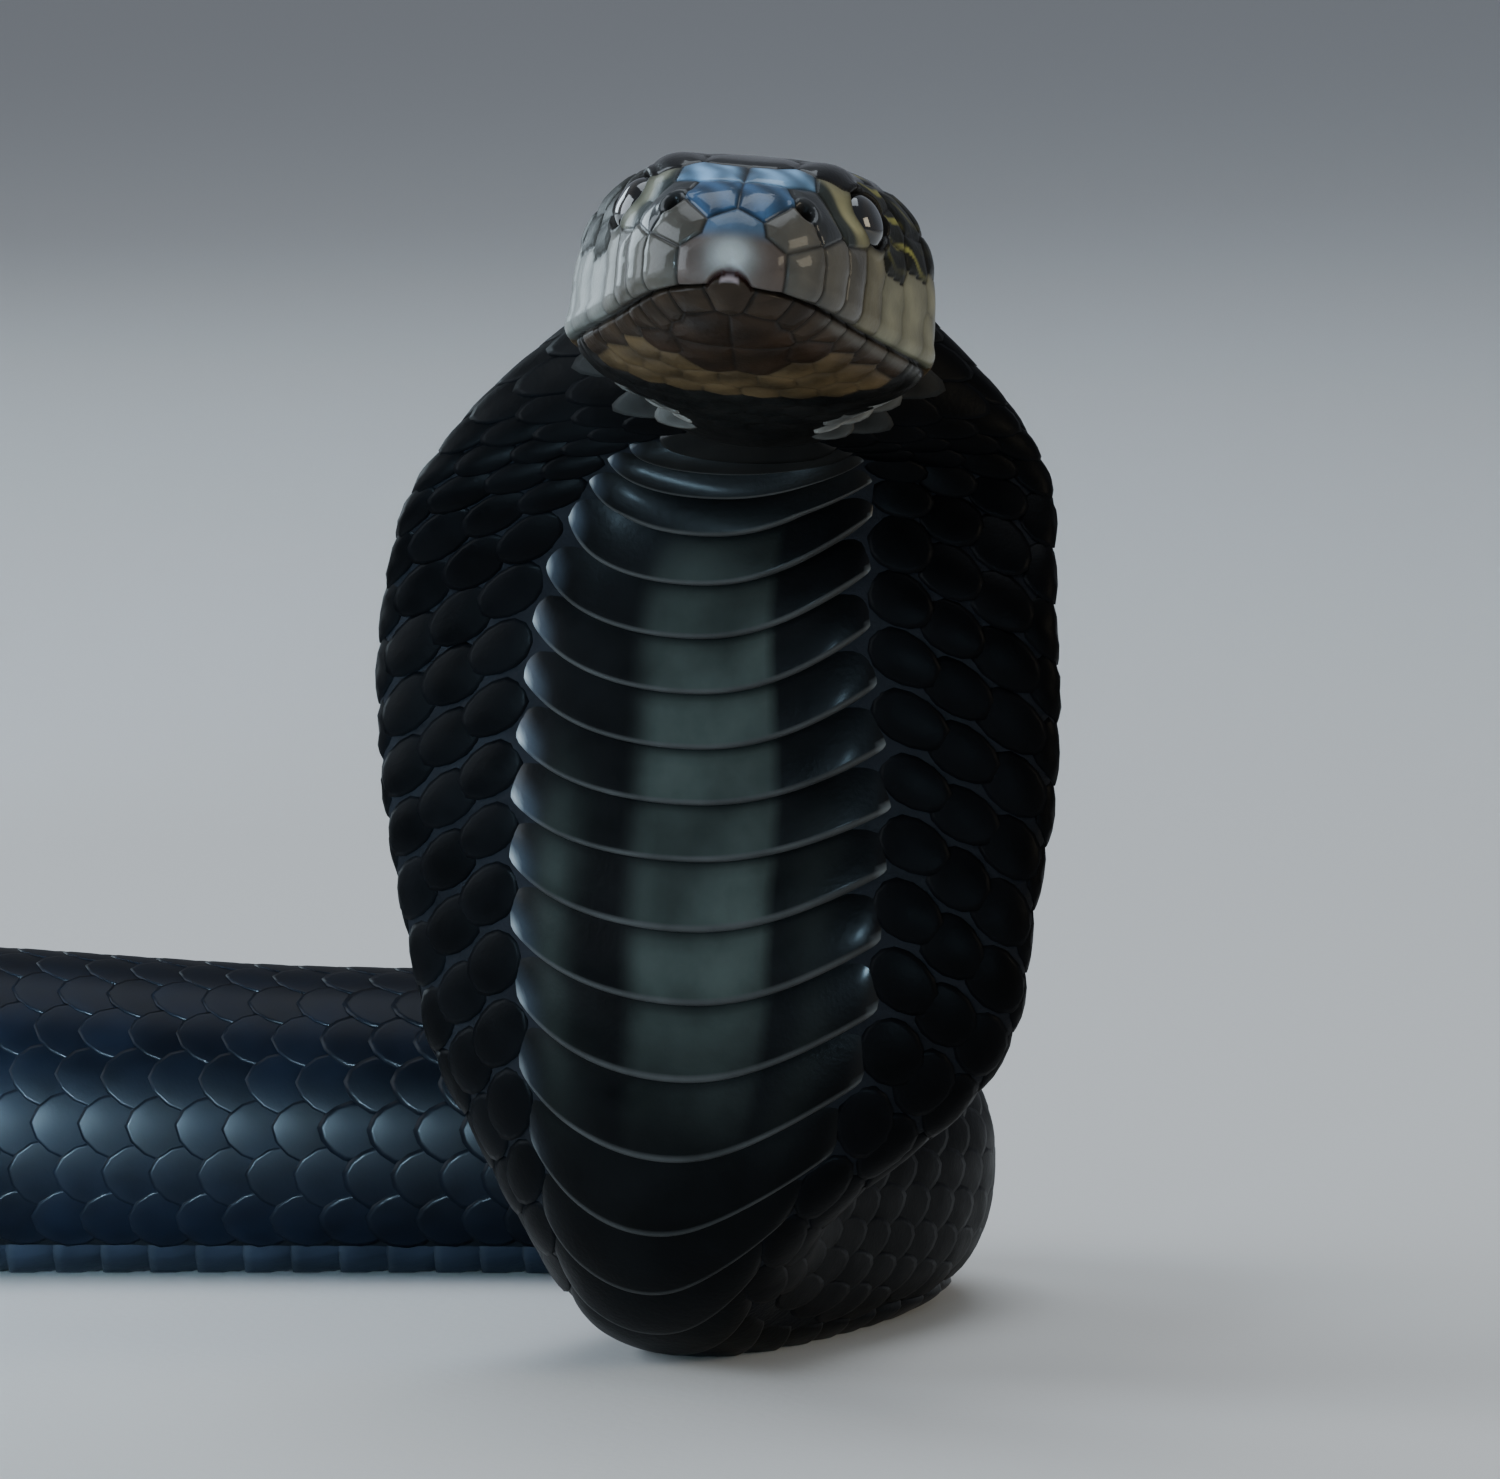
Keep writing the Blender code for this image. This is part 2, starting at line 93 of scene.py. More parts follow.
# Pose of the reared part, as in the CAD model: turns in degrees, lengths in millimetres.
HEAD_PITCH = 14.0
HEAD_YAW = 4.0
HEAD_ROLL = 4.5
ROLL_END = 26.0
HOOD_YAW = 20.0
BASE_YAW = 24.5
NECK_BEND = 22.0
UPRIGHT = 29.0
BASE_BEND = 50.0
HOOD_TWIST = (14.0, 20.0)
BASE_TWIST = (42.0, 18.0)
lean = table((
    (0, -13.4), (13, -11.4), (18, -7.2), (26, -1.2), (36, 1.2), (58, 1.2), (70, 1.5), (80, 2.6),
    (90, 5.3), (105, 7.4),
))
EVENNESS = 0.6
ORIGIN_S = 112.0
GROUND_BENDS = (
    (88.0, 114.0), (74.0, 0.0), (165.0, 130.0), (190.0, -200.0), (90.0, 10.0), (165.0, -122.0),
    (187.0, 170.0),
)
STEP = 0.5
REST_SHARE = 0.965

# Cross-section along the body: (s, size).
half_width = table((
    (0, 11.0), (4, 13.0), (7, 16.6), (11, 21.2), (16, 24.6), (20, 26.4), (25, 27.9), (30, 29.2),
    (36, 29.8), (43, 29.6), (49, 29.1), (54, 28.6), (60, 27.7), (65, 26.4), (70, 23.6), (76, 18.7),
    (84, 14.3), (94, 12.9), (104, 13.0), (130, 13.6), (190, 13.9), (235, 15.0), (350, 15.4),
    (520, 15.4), (650, 14.8), (780, 12.9), (860, 10.8), (892, 9.4), (930, 7.4), (980, 5.0), (1030, 2.5),
    (1060, 0.9),
))
back_depth = table((
    (0, 9.7), (10, 9.2), (20, 9.0), (35, 8.8), (50, 9.0), (65, 9.6), (80, 11.0), (95, 12.2),
    (110, 12.8), (130, 12.8), (190, 13.2), (235, 14.4), (350, 14.8), (520, 14.8), (650, 14.2),
    (780, 12.4), (860, 10.4), (892, 9.1), (930, 7.1), (980, 4.9), (1030, 2.5), (1060, 0.9),
))
belly_depth = table((
    (0, 9.7), (8, 9.4), (20, 8.6), (35, 8.5), (50, 8.8), (62, 9.8), (76, 12.4), (90, 13.6), (110, 13.6),
    (130, 13.6), (190, 13.9), (235, 15.0), (350, 15.2), (520, 15.2), (650, 14.6), (780, 12.7),
    (860, 10.6), (892, 9.3), (930, 7.3), (980, 5.0), (1030, 2.5), (1060, 0.9),
))
hood_spread = table((
    (0, 0.0), (5, 0.2), (12, 0.7), (20, 1.0), (58, 1.0), (75, 0.6), (90, 0.15), (105, 0.0),
))
belly_power = table(((0, 2.0), (80, 2.0), (110, 2.5), (860, 2.5), (980, 2.1), (1060, 2.0)))
HOOD_THINNING = 0.36
HOOD_CURL = 3.4
HOOD_CURL_POWER = 2.6

# Head section at d: half-width, crown, chin, widest level, mouth line and roundness.
HEAD_LENGTH = 37.0
NAPE_LEVEL = 2.5
TIP_ROUNDING = 0.3
head_width = table((
    (0.3, 2.6), (0.8, 4.1), (2.5, 6.4), (5, 8.0), (8, 9.2), (12, 10.5), (16, 12.0), (20, 13.6),
    (24, 14.7), (28, 14.5), (32, 13.0), (37, 11.0),
), rooted=True)
head_top = table((
    (0.3, 2.7), (1.5, 4.7), (3, 6.3), (6, 8.2), (10, 10.2), (15, 11.6), (20, 12.6), (25, 13.1),
    (30, 13.0), (37, 12.2),
), rooted=True)
head_bottom = table((
    (0.3, -1.6), (1.2, -2.5), (3, -3.6), (6, -4.6), (10, -5.4), (15, -6.0), (20, -6.4), (25, -6.6),
    (30, -6.9), (37, -7.2),
), rooted=True)
widest_level = table((
    (0.3, 1.0), (3, 1.5), (8, 1.2), (12, 0.9), (18, -0.2), (25, -0.8), (30, 0.6), (37, 2.5),
))
mouth_level = table((
    (0.3, -1.8), (1, -1.9), (3, -2.0), (7, -2.2), (14, -2.4), (20, -2.6), (27, -2.6), (37, -3.2),
))
crown_power = table(((0.3, 2.1), (5, 2.4), (11, 3.0), (21, 3.0), (29, 2.5), (37, 2.0)))
chin_power = table(((0.3, 2.1), (8, 2.3), (20, 2.4), (30, 2.2), (37, 2.0)))
# Swelling over the eye and hollow before it: d, turn in degrees, their two widths, and height.
BROW = (12.4, 62.0, 3.4, 13.0, 0.6)
LORE = (8.2, 34.0, 2.3, 18.0, -0.8)

# Scales and plates: rows round the body, length of a ring, edge of the belly plates, and the bow.
scale_rows = table((
    (-14, 23.0), (84, 23.0), (150, 15.6), (700, 15.6), (880, 13.2), (920, 11.0), (980, 8.0),
    (1030, 5.6), (1060, 4.4),
))
ring_pitch = table((
    (-14, 4.2), (2, 3.6), (14, 3.7), (20, 4.3), (27, 4.6), (36, 5.2), (50, 5.0), (96, 5.0), (140, 4.3),
    (330, 4.3), (450, 4.8), (890, 4.8), (905, 3.7), (990, 3.1), (1060, 2.1),
))
plate_half_angle = table((
    (-14, 27.0), (8, 27.0), (20, 28.2), (28, 30.6), (36, 32.2), (45, 34.6), (60, 36.8), (90, 37.0),
    (150, 43.0), (890, 43.0), (930, 40.0), (1060, 38.0),
))
bow_strength = table(((0, 0.1), (12, 1.0), (30, 1.0), (48, 0.76), (86, 0.76), (120, 0.0), (1060, 0.0)))
SAG_POWER = (2.1, -0.55)
first_scale = table(((0, -5.2), (0.35, -6.6), (0.6, -9.2), (1, -10.5)))
PLATED_FROM = 3.0
VENT_S = 889.0
TAIL_END = 1059.0
MOST_ROWS = 11
FIRST_STATION = -16.0
STATION_STEP = 2.0
SHARE_STEP = 0.02
SEED = 7

# Steps that probe the surface's direction: millimetres along it and radians round it.
PROBE_ALONG = 0.08
PROBE_ROUND = 0.02

# Grid of the body's skin: where it starts, its steps on the reared part and behind, and its columns.
SKIN_START = -5.0
FINE_STEP = 1.3
COARSE_STEP = 2.7
SKIN_COLUMNS = 120
TIP_LENGTH = 0.7

# Half-width of the body from which scales stand at full height, and the depth of a scale's skirt.
FULL_HEIGHT_WIDTH = 9.0
SKIRT_DEPTH = 0.45
HOOD_SCALES_END = 186.0
FRONT_TRUNK_END = 480.0

# Of a plate: share where its rim starts, heights of its root, of its underside and of its ends.
RIM_START = 0.93
ROOT_HEIGHT = -0.16
UNDER_HEIGHT = -0.22
END_HEIGHT = -0.2
HOOD_PLATES_END = 125.0

# Inputs of the grain's node group, and the camera's target, place (metres) and lens (millimetres).
GRAIN_SCALES = ("Mottle Size", "Grain Size", "Pore Size")
CAMERA_TARGET = (-0.0030, -0.0462, 0.0545)
CAMERA_PLACE = (-0.0030, -1.0429, 0.1347)
CAMERA_LENS = 292.3


def soft_turn(t):
    """Share of a bend done at share t of its length: slow at both ends and quickest halfway."""
    t = np.clip(t, 0, 1)
    return t - np.sin(2 * np.pi * t) / (2 * np.pi)


def even_turn(t):
    """As soft_turn, but with the bend spread more evenly along its length."""
    return EVENNESS * np.clip(t, 0, 1) + (1 - EVENNESS) * soft_turn(t)


def centreline():
    """Places and directions along the body: towards the tail, up out of the back, and to the left."""
    base_start = NECK_BEND + UPRIGHT
    base_end = base_start + BASE_BEND
    length = base_end + sum(bend[0] for bend in GROUND_BENDS)
    s = np.arange(0, length + STEP, STEP)
    pitch = HEAD_PITCH + (90 - HEAD_PITCH) * even_turn(s / NECK_BEND)
    pitch = np.radians(pitch - 90 * even_turn((s - base_start) / BASE_BEND))
    yaw = HEAD_YAW + (HOOD_YAW - HEAD_YAW) * soft_turn((s - HOOD_TWIST[0]) / HOOD_TWIST[1])
    yaw += (BASE_YAW - HOOD_YAW) * soft_turn((s - BASE_TWIST[0]) / BASE_TWIST[1])
    start = base_end
    for bend_length, turn in GROUND_BENDS:
        yaw -= turn * soft_turn((s - start) / bend_length)
        start += bend_length
    yaw = np.radians(yaw)
    along = np.stack([np.sin(yaw) * np.cos(pitch), np.cos(yaw) * np.cos(pitch), -np.sin(pitch)], axis=1)
    back = np.stack([np.sin(yaw) * np.sin(pitch), np.cos(yaw) * np.sin(pitch), np.cos(pitch)], axis=1)
    left = np.cross(along, back)
    roll = np.radians(HEAD_ROLL) * (1 - soft_turn(s / ROLL_END))[:, None]
    tilted_back = back * np.cos(roll) + left * np.sin(roll)
    left = left * np.cos(roll) - back * np.sin(roll)
    middle = (along[1:] + along[:-1]) * 0.5 * STEP
    place = np.concatenate([np.zeros((1, 3)), np.cumsum(middle, axis=0)])
    rest = belly_depth(s) * REST_SHARE
    ground = s >= base_end
    first = int(np.argmax(ground))
    place[:, 2] += rest[first] - place[first, 2]
    place[ground, 2] = rest[ground]
    place[:, 0] += lean(place[:, 2])
    place[:, :2] -= place[int(round(ORIGIN_S / STEP)), :2]
    return s, place, along, tilted_back, left


LINE_S, LINE_PLACE, LINE_ALONG, LINE_BACK, LINE_LEFT = centreline()


def along_line(values, s):
    """Vectors of the centreline read at any s."""
    return np.stack([np.interp(s, LINE_S, values[:, k]) for k in range(3)], axis=-1)


def signed_power(value, power):
    """The value's size raised to the power, with its sign kept."""
    return np.sign(value) * np.abs(value) ** power


def bump_at(value, centre, width):
    """Bell of height 1 at the centre, falling off over the width."""
    return np.exp(-((value - centre) / width) ** 2)


def ramp(value, low, high):
    """Smooth step from 0 at low to 1 at high, which may be the smaller one."""
    t = np.clip((value - low) / (high - low), 0, 1)
    return t * t * (3 - 2 * t)


def head_section(s, angle):
    """Sideways and upward distance of the head's outline: two half-superellipses that meet at its
    widest level, shrunk by the square root of the distance over the last bit of the snout."""
    d = HEAD_LENGTH + s
    over = np.sin(angle) >= 0
    level = widest_level(d)
    power = 2 / np.where(over, crown_power(d), chin_power(d))
    tip = np.sqrt(np.clip(d / TIP_ROUNDING, 0, 1))
    depth = np.where(over, head_top(d) - level, level - head_bottom(d)) * tip
    across = head_width(d) * tip * signed_power(np.cos(angle), power)
    return across, level + depth * signed_power(np.sin(angle), power) - NAPE_LEVEL


def body_section(s, angle):
    """Sideways and upward distance of the body's outline: half an ellipse over the back, half a
    squarer one under the belly, and thin edges that curl forwards where the hood spreads."""
    side = np.cos(angle)
    height = np.sin(angle)
    over = height >= 0
    spread = hood_spread(s)
    power = 2 / np.where(over, 2.0, belly_power(s))
    across = half_width(s) * signed_power(side, power)
    up = np.where(over, back_depth(s), belly_depth(s)) * signed_power(height, power)
    up = up * (1 - HOOD_THINNING * spread * (1 - height * height))
    return across, up - HOOD_CURL * spread * np.abs(side) ** HOOD_CURL_POWER


def skin_place(s, angle):
    """Place on the snake's surface, in millimetres: the head's section before s = 0 and the body's
    after it, carried along the centreline and flattened on the floor."""
    s, angle = np.broadcast_arrays(np.asarray(s, dtype=float), np.asarray(angle, dtype=float))
    across, up = np.where(s < 0, head_section(s, angle), body_section(s, angle))
    place = along_line(LINE_PLACE, s) + np.minimum(s, 0)[..., None] * LINE_ALONG[0]
    place = place + along_line(LINE_LEFT, s) * across[..., None]
    return above_floor(place + along_line(LINE_BACK, s) * up[..., None])


def above_floor(place):
    """The places with their height kept at zero or more."""
    place[..., 2] = np.maximum(place[..., 2], 0)
    return place


def unit(vectors):
    """The vectors at length 1."""
    return vectors / np.maximum(np.linalg.norm(vectors, axis=-1, keepdims=True), 1e-9)


def skin_normal(s, angle):
    """Outward direction of the surface: the way along it crossed with the way round it."""
    along = skin_place(s + PROBE_ALONG, angle) - skin_place(s - PROBE_ALONG, angle)
    round_it = skin_place(s, angle + PROBE_ROUND) - skin_place(s, angle - PROBE_ROUND)
    return unit(np.cross(along, round_it))


def lifted(s, angle, height):
    """Places that stand off the surface by a height along its normal, and not below the floor."""
    return above_floor(skin_place(s, angle) + skin_normal(s, angle) * height[..., None])


def slimming(s):
    """Share of their full height that scales and plates have, less where the tail is thin."""
    return np.clip(half_width(s) / FULL_HEIGHT_WIDTH, 0.25, 1.0)


def girth_tables():
    """For stations along the body: the half-girth from the middle of the back to the edge of the
    belly plates, and the angle reached at each share of it."""
    stations = np.arange(FIRST_STATION, LINE_S[-1], STATION_STEP)
    turn = np.linspace(0, math.pi, 361)
    places = skin_place(stations[:, None], math.pi / 2 - turn)
    steps = np.linalg.norm(np.diff(places, axis=1), axis=2)
    arc = np.concatenate([np.zeros((len(stations), 1)), np.cumsum(steps, axis=1)], axis=1)
    shares = np.arange(0, 1.2 + SHARE_STEP, SHARE_STEP)
    edge = math.pi - np.radians(plate_half_angle(stations))
    girth = np.array([np.interp(edge[i], turn, arc[i]) for i in range(len(stations))])
    turns = np.array([np.interp(shares * girth[i], arc[i], turn) for i in range(len(stations))])
    return stations, girth, turns


STATIONS, HALF_GIRTH, TURNS = girth_tables()


def half_girth(s):
    """Millimetres round the body from the middle of the back to the belly plates."""
    return np.interp(s, STATIONS, HALF_GIRTH)


def angle_at(s, share):
    """Angle at a share of the way from the middle of the back (0) to the belly plates on the snake's
    left (1) or right (-1), read between the rows and columns of the girth table."""
    row = np.clip((s - STATIONS[0]) / STATION_STEP, 0, len(STATIONS) - 1.001)
    column = np.clip(np.abs(share) / SHARE_STEP, 0, TURNS.shape[1] - 1.001)
    i, j = row.astype(int), column.astype(int)
    f, g = row - i, column - j
    near = TURNS[i, j] * (1 - g) + TURNS[i, j + 1] * g
    far = TURNS[i + 1, j] * (1 - g) + TURNS[i + 1, j + 1] * g
    return math.pi / 2 - np.sign(share) * (near * (1 - f) + far * f)


# Making of meshes and materials.

def new_piece(name, points, faces, tint, uv, look, replaced=()):
    """Piece at the origin from points in millimetres, its tint as a colour attribute, its patch map
    as the UV map OFBake, riding on the model's one body."""
    mesh = bpy.data.meshes.new(name)
    mesh.from_pydata((points * MM).tolist(), [], faces)
    if mesh.validate():
        raise RuntimeError(name + " has a broken face")
    if uv is not None:
        corner = np.empty(len(mesh.loops), dtype=np.int32)
        mesh.loops.foreach_get("vertex_index", corner)
        corner_uv = uv[corner] if len(uv) == len(points) else uv
        mesh.uv_layers.new(name="OFBake").data.foreach_set("uv", corner_uv.astype(np.float32).ravel())
    if tint.shape[1] == 3:
        tint = np.concatenate([tint, np.ones((len(tint), 1))], axis=1)
    layer = mesh.attributes.new("tint", "FLOAT_COLOR", "POINT")
    layer.data.foreach_set("color", np.clip(tint, 0, 1).astype(np.float32).ravel())
    mesh.shade_smooth()
    mesh.materials.append(look)
    piece = bpy.data.objects.new(name, mesh)
    bpy.context.scene.collection.objects.link(piece)
    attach(piece, "root")
    if replaced:
        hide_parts(*replaced)
    return piece


def around(count):
    """Angles of points spaced evenly round a circle."""
    return np.arange(count) * 2 * math.pi / count


def grid_faces(rows, columns, closed, start=0):
    """Squares of a grid of rows by columns of points, numbered from start, closed round if asked."""
    i = np.arange(rows - 1)[:, None]
    j = np.arange(columns if closed else columns - 1)[None, :]
    after = (j + 1) % columns
    quads = np.stack([i * columns + j, i * columns + after, (i + 1) * columns + after,
                      (i + 1) * columns + j], axis=-1)
    return quads.reshape(-1, 4) + start


def fan(middle, start, count, onward=True):
    """Triangles between a middle point and a closed ring of points numbered from start."""
    ring = [start + j for j in range(count)]
    after = ring[1:] + ring[:1]
    return [(middle, a, b) for a, b in (zip(ring, after) if onward else zip(after, ring))]


def grid_corner_uv(rows, columns):
    """Corner UVs of a closed grid, unrolled so that the last column doesn't fold back on the first."""
    v, u = np.meshgrid(np.arange(rows - 1), np.arange(columns), indexing="ij")
    u = np.stack([u, u + 1, u + 1, u], axis=-1) / columns
    v = np.stack([v, v, v + 1, v + 1], axis=-1) / (rows - 1)
    return np.stack([u, v], axis=-1).reshape(-1, 2) * 0.98 + 0.01


def mix(a, b, share):
    """Colour a blended towards colour b by the share, row by row."""
    share = np.asarray(share)[..., None]
    return np.asarray(a) * (1 - share) + np.asarray(b) * share


def layered(tint, *layers):
    """The tint with the colour of each layer blended over it by that layer's share, in turn."""
    for tone, share in layers:
        tint = mix(tint, tone, share)
    return tint


def node(tree, kind, inputs=(), **values):
    """New shader node with the given properties, and then the given inputs, set."""
    made = tree.nodes.new(kind)
    for key, value in values.items():
        setattr(made, key, value)
    for key, value in dict(inputs).items():
        made.inputs[key].default_value = value
    return made


def grain_group():
    """Node group for skin: a soft mottling, and a fine grain with pores in it.

    Place is the coordinate to read. The other inputs are the scales of the three textures.
    """
    tree = bpy.data.node_groups.get("skin_grain")
    if tree:
        return tree
    tree = bpy.data.node_groups.new("skin_grain", "ShaderNodeTree")
    tree.interface.new_socket("Place", in_out="INPUT", socket_type="NodeSocketVector")
    for label in GRAIN_SCALES:
        tree.interface.new_socket(label, in_out="INPUT", socket_type="NodeSocketFloat")
    for label in ("Mottle", "Grain"):
        tree.interface.new_socket(label, in_out="OUTPUT", socket_type="NodeSocketFloat")
    entry = node(tree, "NodeGroupInput")
    leave = node(tree, "NodeGroupOutput")
    mottle = node(tree, "ShaderNodeTexNoise", {"Detail": 4.0})
    grain = node(tree, "ShaderNodeTexNoise", {"Detail": 3.0})
    pores = node(tree, "ShaderNodeTexVoronoi")
    joined = node(tree, "ShaderNodeMath", {1: 0.45}, operation="MULTIPLY_ADD")
    link = tree.links.new
    for label, texture in zip(GRAIN_SCALES, (mottle, grain, pores)):
        link(entry.outputs["Place"], texture.inputs["Vector"])
        link(entry.outputs[label], texture.inputs["Scale"])
    link(pores.outputs["Distance"], joined.inputs[0])
    link(grain.outputs["Fac"], joined.inputs[2])
    link(mottle.outputs["Fac"], leave.inputs["Mottle"])
    link(joined.outputs[0], leave.inputs["Grain"])
    return tree


def skin_look(name, scales, rough, coat, depth, contrast, shine=0.5, polish=0.08):
    """Material of a skin: its tint darkened and lightened by mottling, with a fine grain as bump.

    scales holds the three texture scales, rough the least and most roughness, contrast how far the
    mottling changes the tint, shine the specular level. coat is the clear coat's weight; None reads
    it from the tint's last channel. polish is the clear coat's roughness.
    """
    look = bpy.data.materials.get(name)
    if look:
        return look
    look = bpy.data.materials.new(name)
    look.use_nodes = True
    tree = look.node_tree
    link = tree.links.new
    shader = tree.nodes["Principled BSDF"]
    place = node(tree, "ShaderNodeTexCoord")
    tint = node(tree, "ShaderNodeAttribute", attribute_name="tint")
    skin = node(tree, "ShaderNodeGroup", zip(GRAIN_SCALES, scales), node_tree=grain_group())
    link(place.outputs["Object"], skin.inputs["Place"])

    def mottled(low, high):
        """Output that runs from low to high with the mottling."""
        span = node(tree, "ShaderNodeMapRange",
                    {"From Min": 0.3, "From Max": 0.7, "To Min": low, "To Max": high})
        link(skin.outputs["Mottle"], span.inputs["Value"])
        return span.outputs["Result"]

    shaded = node(tree, "ShaderNodeVectorMath", operation="SCALE")
    link(tint.outputs["Color"], shaded.inputs[0])
    link(mottled(1 - contrast, 1 + contrast), shaded.inputs["Scale"])
    link(shaded.outputs["Vector"], shader.inputs["Base Color"])
    link(mottled(*rough), shader.inputs["Roughness"])
    bump = node(tree, "ShaderNodeBump", {"Strength": 1.0, "Distance": depth * MM})
    link(skin.outputs["Grain"], bump.inputs["Height"])
    link(bump.outputs["Normal"], shader.inputs["Normal"])
    if coat is None:
        link(tint.outputs["Alpha"], shader.inputs["Coat Weight"])
    else:
        shader.inputs["Coat Weight"].default_value = coat
    shader.inputs["Coat Roughness"].default_value = polish
    shader.inputs["Specular IOR Level"].default_value = shine
    return look


# Sizes and colours that a user may change.

def colour(name, text, value):
    """Colour property with its name, tip and default."""
    return bpy.props.FloatVectorProperty(name=name, description=text, default=value, subtype="COLOR",
                                         min=0.0, max=1.0)


def length(name, text, value):
    """Length property in millimetres, with its name, tip and default."""
    return bpy.props.FloatProperty(name=name, description=text, default=value, min=0.0, soft_max=10.0)


def share(name, text, value):
    """Property that is a share of something, with its name, tip and default."""
    return bpy.props.FloatProperty(name=name, description=text, default=value, min=0.0, max=2.0,
                                   subtype="FACTOR")


def watts(name, text, value):
    """Power property of a light, in watts, with its name, tip and default."""
    return bpy.props.FloatProperty(name=name, description="Watts of the " + text, default=value,
                                   unit="POWER")


class CobraHead(bpy.types.PropertyGroup):
    """Relief of the head, in millimetres."""

    pillow: length("Shield swell", "How far the middle of a head shield stands out, mm", 0.2)
    pillow_width: length("Swell width", "Distance over which a shield rises from its edge, mm", 0.75)
    suture: length("Suture depth", "Depth of the seam between two head shields, mm", 0.16)
    suture_width: length("Suture width", "Half-width of that seam, mm", 0.13)
    lip: length("Upper lip", "How far the upper lip stands out, mm", 0.3)
    mouth: length("Mouth depth", "Depth of the closed mouth's line, mm", 0.55)
    jaw_inset: length("Jaw inset", "How far the lower jaw is set in under the lip, mm", 0.42)
    notch: length("Tongue notch", "Height of the notch for the tongue, mm", 1.15)
    eye_rim: length("Eye rim", "How far the ring round the eye stands out, mm", 0.26)
    nostril: length("Nostril depth", "Depth of the nostrils, mm", 0.9)


class CobraScales(bpy.types.PropertyGroup):
    """Dorsal scales."""

    hood_length: share("Hood scale length", "Half-length of a hood scale as a share of a ring", 0.66)
    hood_width: share("Hood scale width", "Half-width of a hood scale as a share of a row", 0.53)
    body_length: share("Body scale length", "Half-length of a body scale as a share of a ring", 0.80)
    body_width: share("Body scale width", "Half-width of a body scale as a share of a row", 0.66)
    hood_dome: length("Hood dome", "Height of a hood scale's middle, mm", 0.36)
    body_dome: length("Body dome", "Height of a body scale's middle, mm", 0.15)
    overlap: length("Rear edge", "Height of a scale's rear edge over the next, mm", 0.14)
    sink: length("Front edge", "Depth of a scale's front edge under the one before, mm", 0.22)
    tilt: bpy.props.FloatProperty(name="Hood tilt", description="Turn of the scales beside the plates",
                                  default=math.radians(60), subtype="ANGLE", unit="ROTATION")


class CobraPlates(bpy.types.PropertyGroup):
    """Belly plates."""

    bow: length("Bow", "How far the middle of a hood plate lies towards the tail, mm", 6.2)
    lift: length("Lift", "Height of a plate's free edge, mm", 0.55)
    shoulder: length("Shoulder", "How far the ends of a hood plate turn down, mm", 0.9)
    overhang: share("Overhang", "Share of a plate that lies over the next one", 0.1)
    band: share("Pale band", "Strength of the pale band down the middle of the hood", 1.0)


class CobraColours(bpy.types.PropertyGroup):
    """Colours of the skin. The snout's blue, the yellow flecks, and the plates' tip highlights and
    sheen are painted light.
    """

    crown: colour("Crown", "Top of the head", (0.0035, 0.0035, 0.0040))
    # Snout and snout top: dark shields painted blue, a painted reflection of the sky.
    snout: colour("Snout", "Shields behind the rostral", (0.030, 0.080, 0.160))
    snout_top_painted_reflection: colour("Snout top", "Shields before the crown", (0.200, 0.380, 0.600))
    rostral: colour("Rostral", "Shield at the tip of the snout", (0.085, 0.066, 0.056))
    rostral_middle: colour("Rostral middle", "Pale middle of that shield", (0.470, 0.520, 0.520))
    rostral_top: colour("Rostral top", "Upper part of that shield", (0.070, 0.120, 0.190))
    lip: colour("Front lips", "First lip shields", (0.085, 0.078, 0.064))
    nasal: colour("Nasals", "Shields round the nostrils", (0.020, 0.022, 0.023))
    cheek: colour("Cheeks", "Lip shields under and behind the eye", (0.155, 0.158, 0.141))
    cheek_front: colour("Front cheeks", "Lip shield under the eye", (0.110, 0.105, 0.088))
    snout_dark: colour("Snout patches", "Dark patches of the blue shields", (0.004, 0.011, 0.015))
    strip: colour("Eye strips", "Shields before the eye", (0.190, 0.188, 0.138))
    postocular: colour("Behind the eye", "Shields behind the eye", (0.009, 0.009, 0.006))
    # Painted glints: yellow streaks that stand in for highlights on the dark temples.
    painted_glints: colour("Flecks", "Yellow flecks behind the left eye", (0.300, 0.290, 0.075))
    temple: colour("Temples", "Shields between the eye and the neck", (0.007, 0.0075, 0.005))
    suture: colour("Sutures", "Seams between the head shields", (0.008, 0.007, 0.006))
    jaw_lip: colour("Lower lips", "Lip shields of the lower jaw", (0.030, 0.019, 0.011))
    chin: colour("Chin", "Shields under the chin", (0.024, 0.013, 0.0065))
    jaw_band: colour("Jaw band", "Yellowish skin at the back of the jaw", (0.086, 0.057, 0.026))
    mental: colour("Mental tip", "Skin in the tongue notch", (0.400, 0.330, 0.340))
    notch: colour("Notch", "Inside of the mouth at the notch", (0.040, 0.008, 0.007))
    scale: colour("Scales", "Dorsal scales", (0.0013, 0.0014, 0.0017))
    trunk: colour("Trunk scales", "Dorsal scales of the trunk", (0.0011, 0.0021, 0.0046))
    neck_pale: colour("Neck scales", "Pale scales behind the jaw", (0.400, 0.400, 0.370))
    between: colour("Skin between", "Skin between the scales", (0.0075, 0.0083, 0.0105))
    plate: colour("Plates", "Belly plates", (0.0020, 0.0022, 0.0024))
    plate_pale: colour("Pale plates", "Pale patches of the hood's plates", (0.035, 0.043, 0.037))
    plate_rim: colour("Plate edges", "Free edges of the plates", (0.046, 0.045, 0.043))
    # Plate tips: pale ends of the free edges, painted much brighter on the snake's right as a
    # highlight.
    plate_tip_and_highlight: colour("Plate tips", "Ends of the plates' free edges", (0.320, 0.340, 0.340))
    # Plate sheen: a painted bluish reflection at the ends of the plates on the snake's right.
    plate_painted_sheen: colour("Plate sheen", "Ends of the plates on the snake's right", (0.042, 0.052, 0.066))
    throat: colour("Throat", "First plates under the throat", (0.0075, 0.0070, 0.0062))
    belly: colour("Belly", "Belly plates of the trunk", (0.009, 0.011, 0.016))


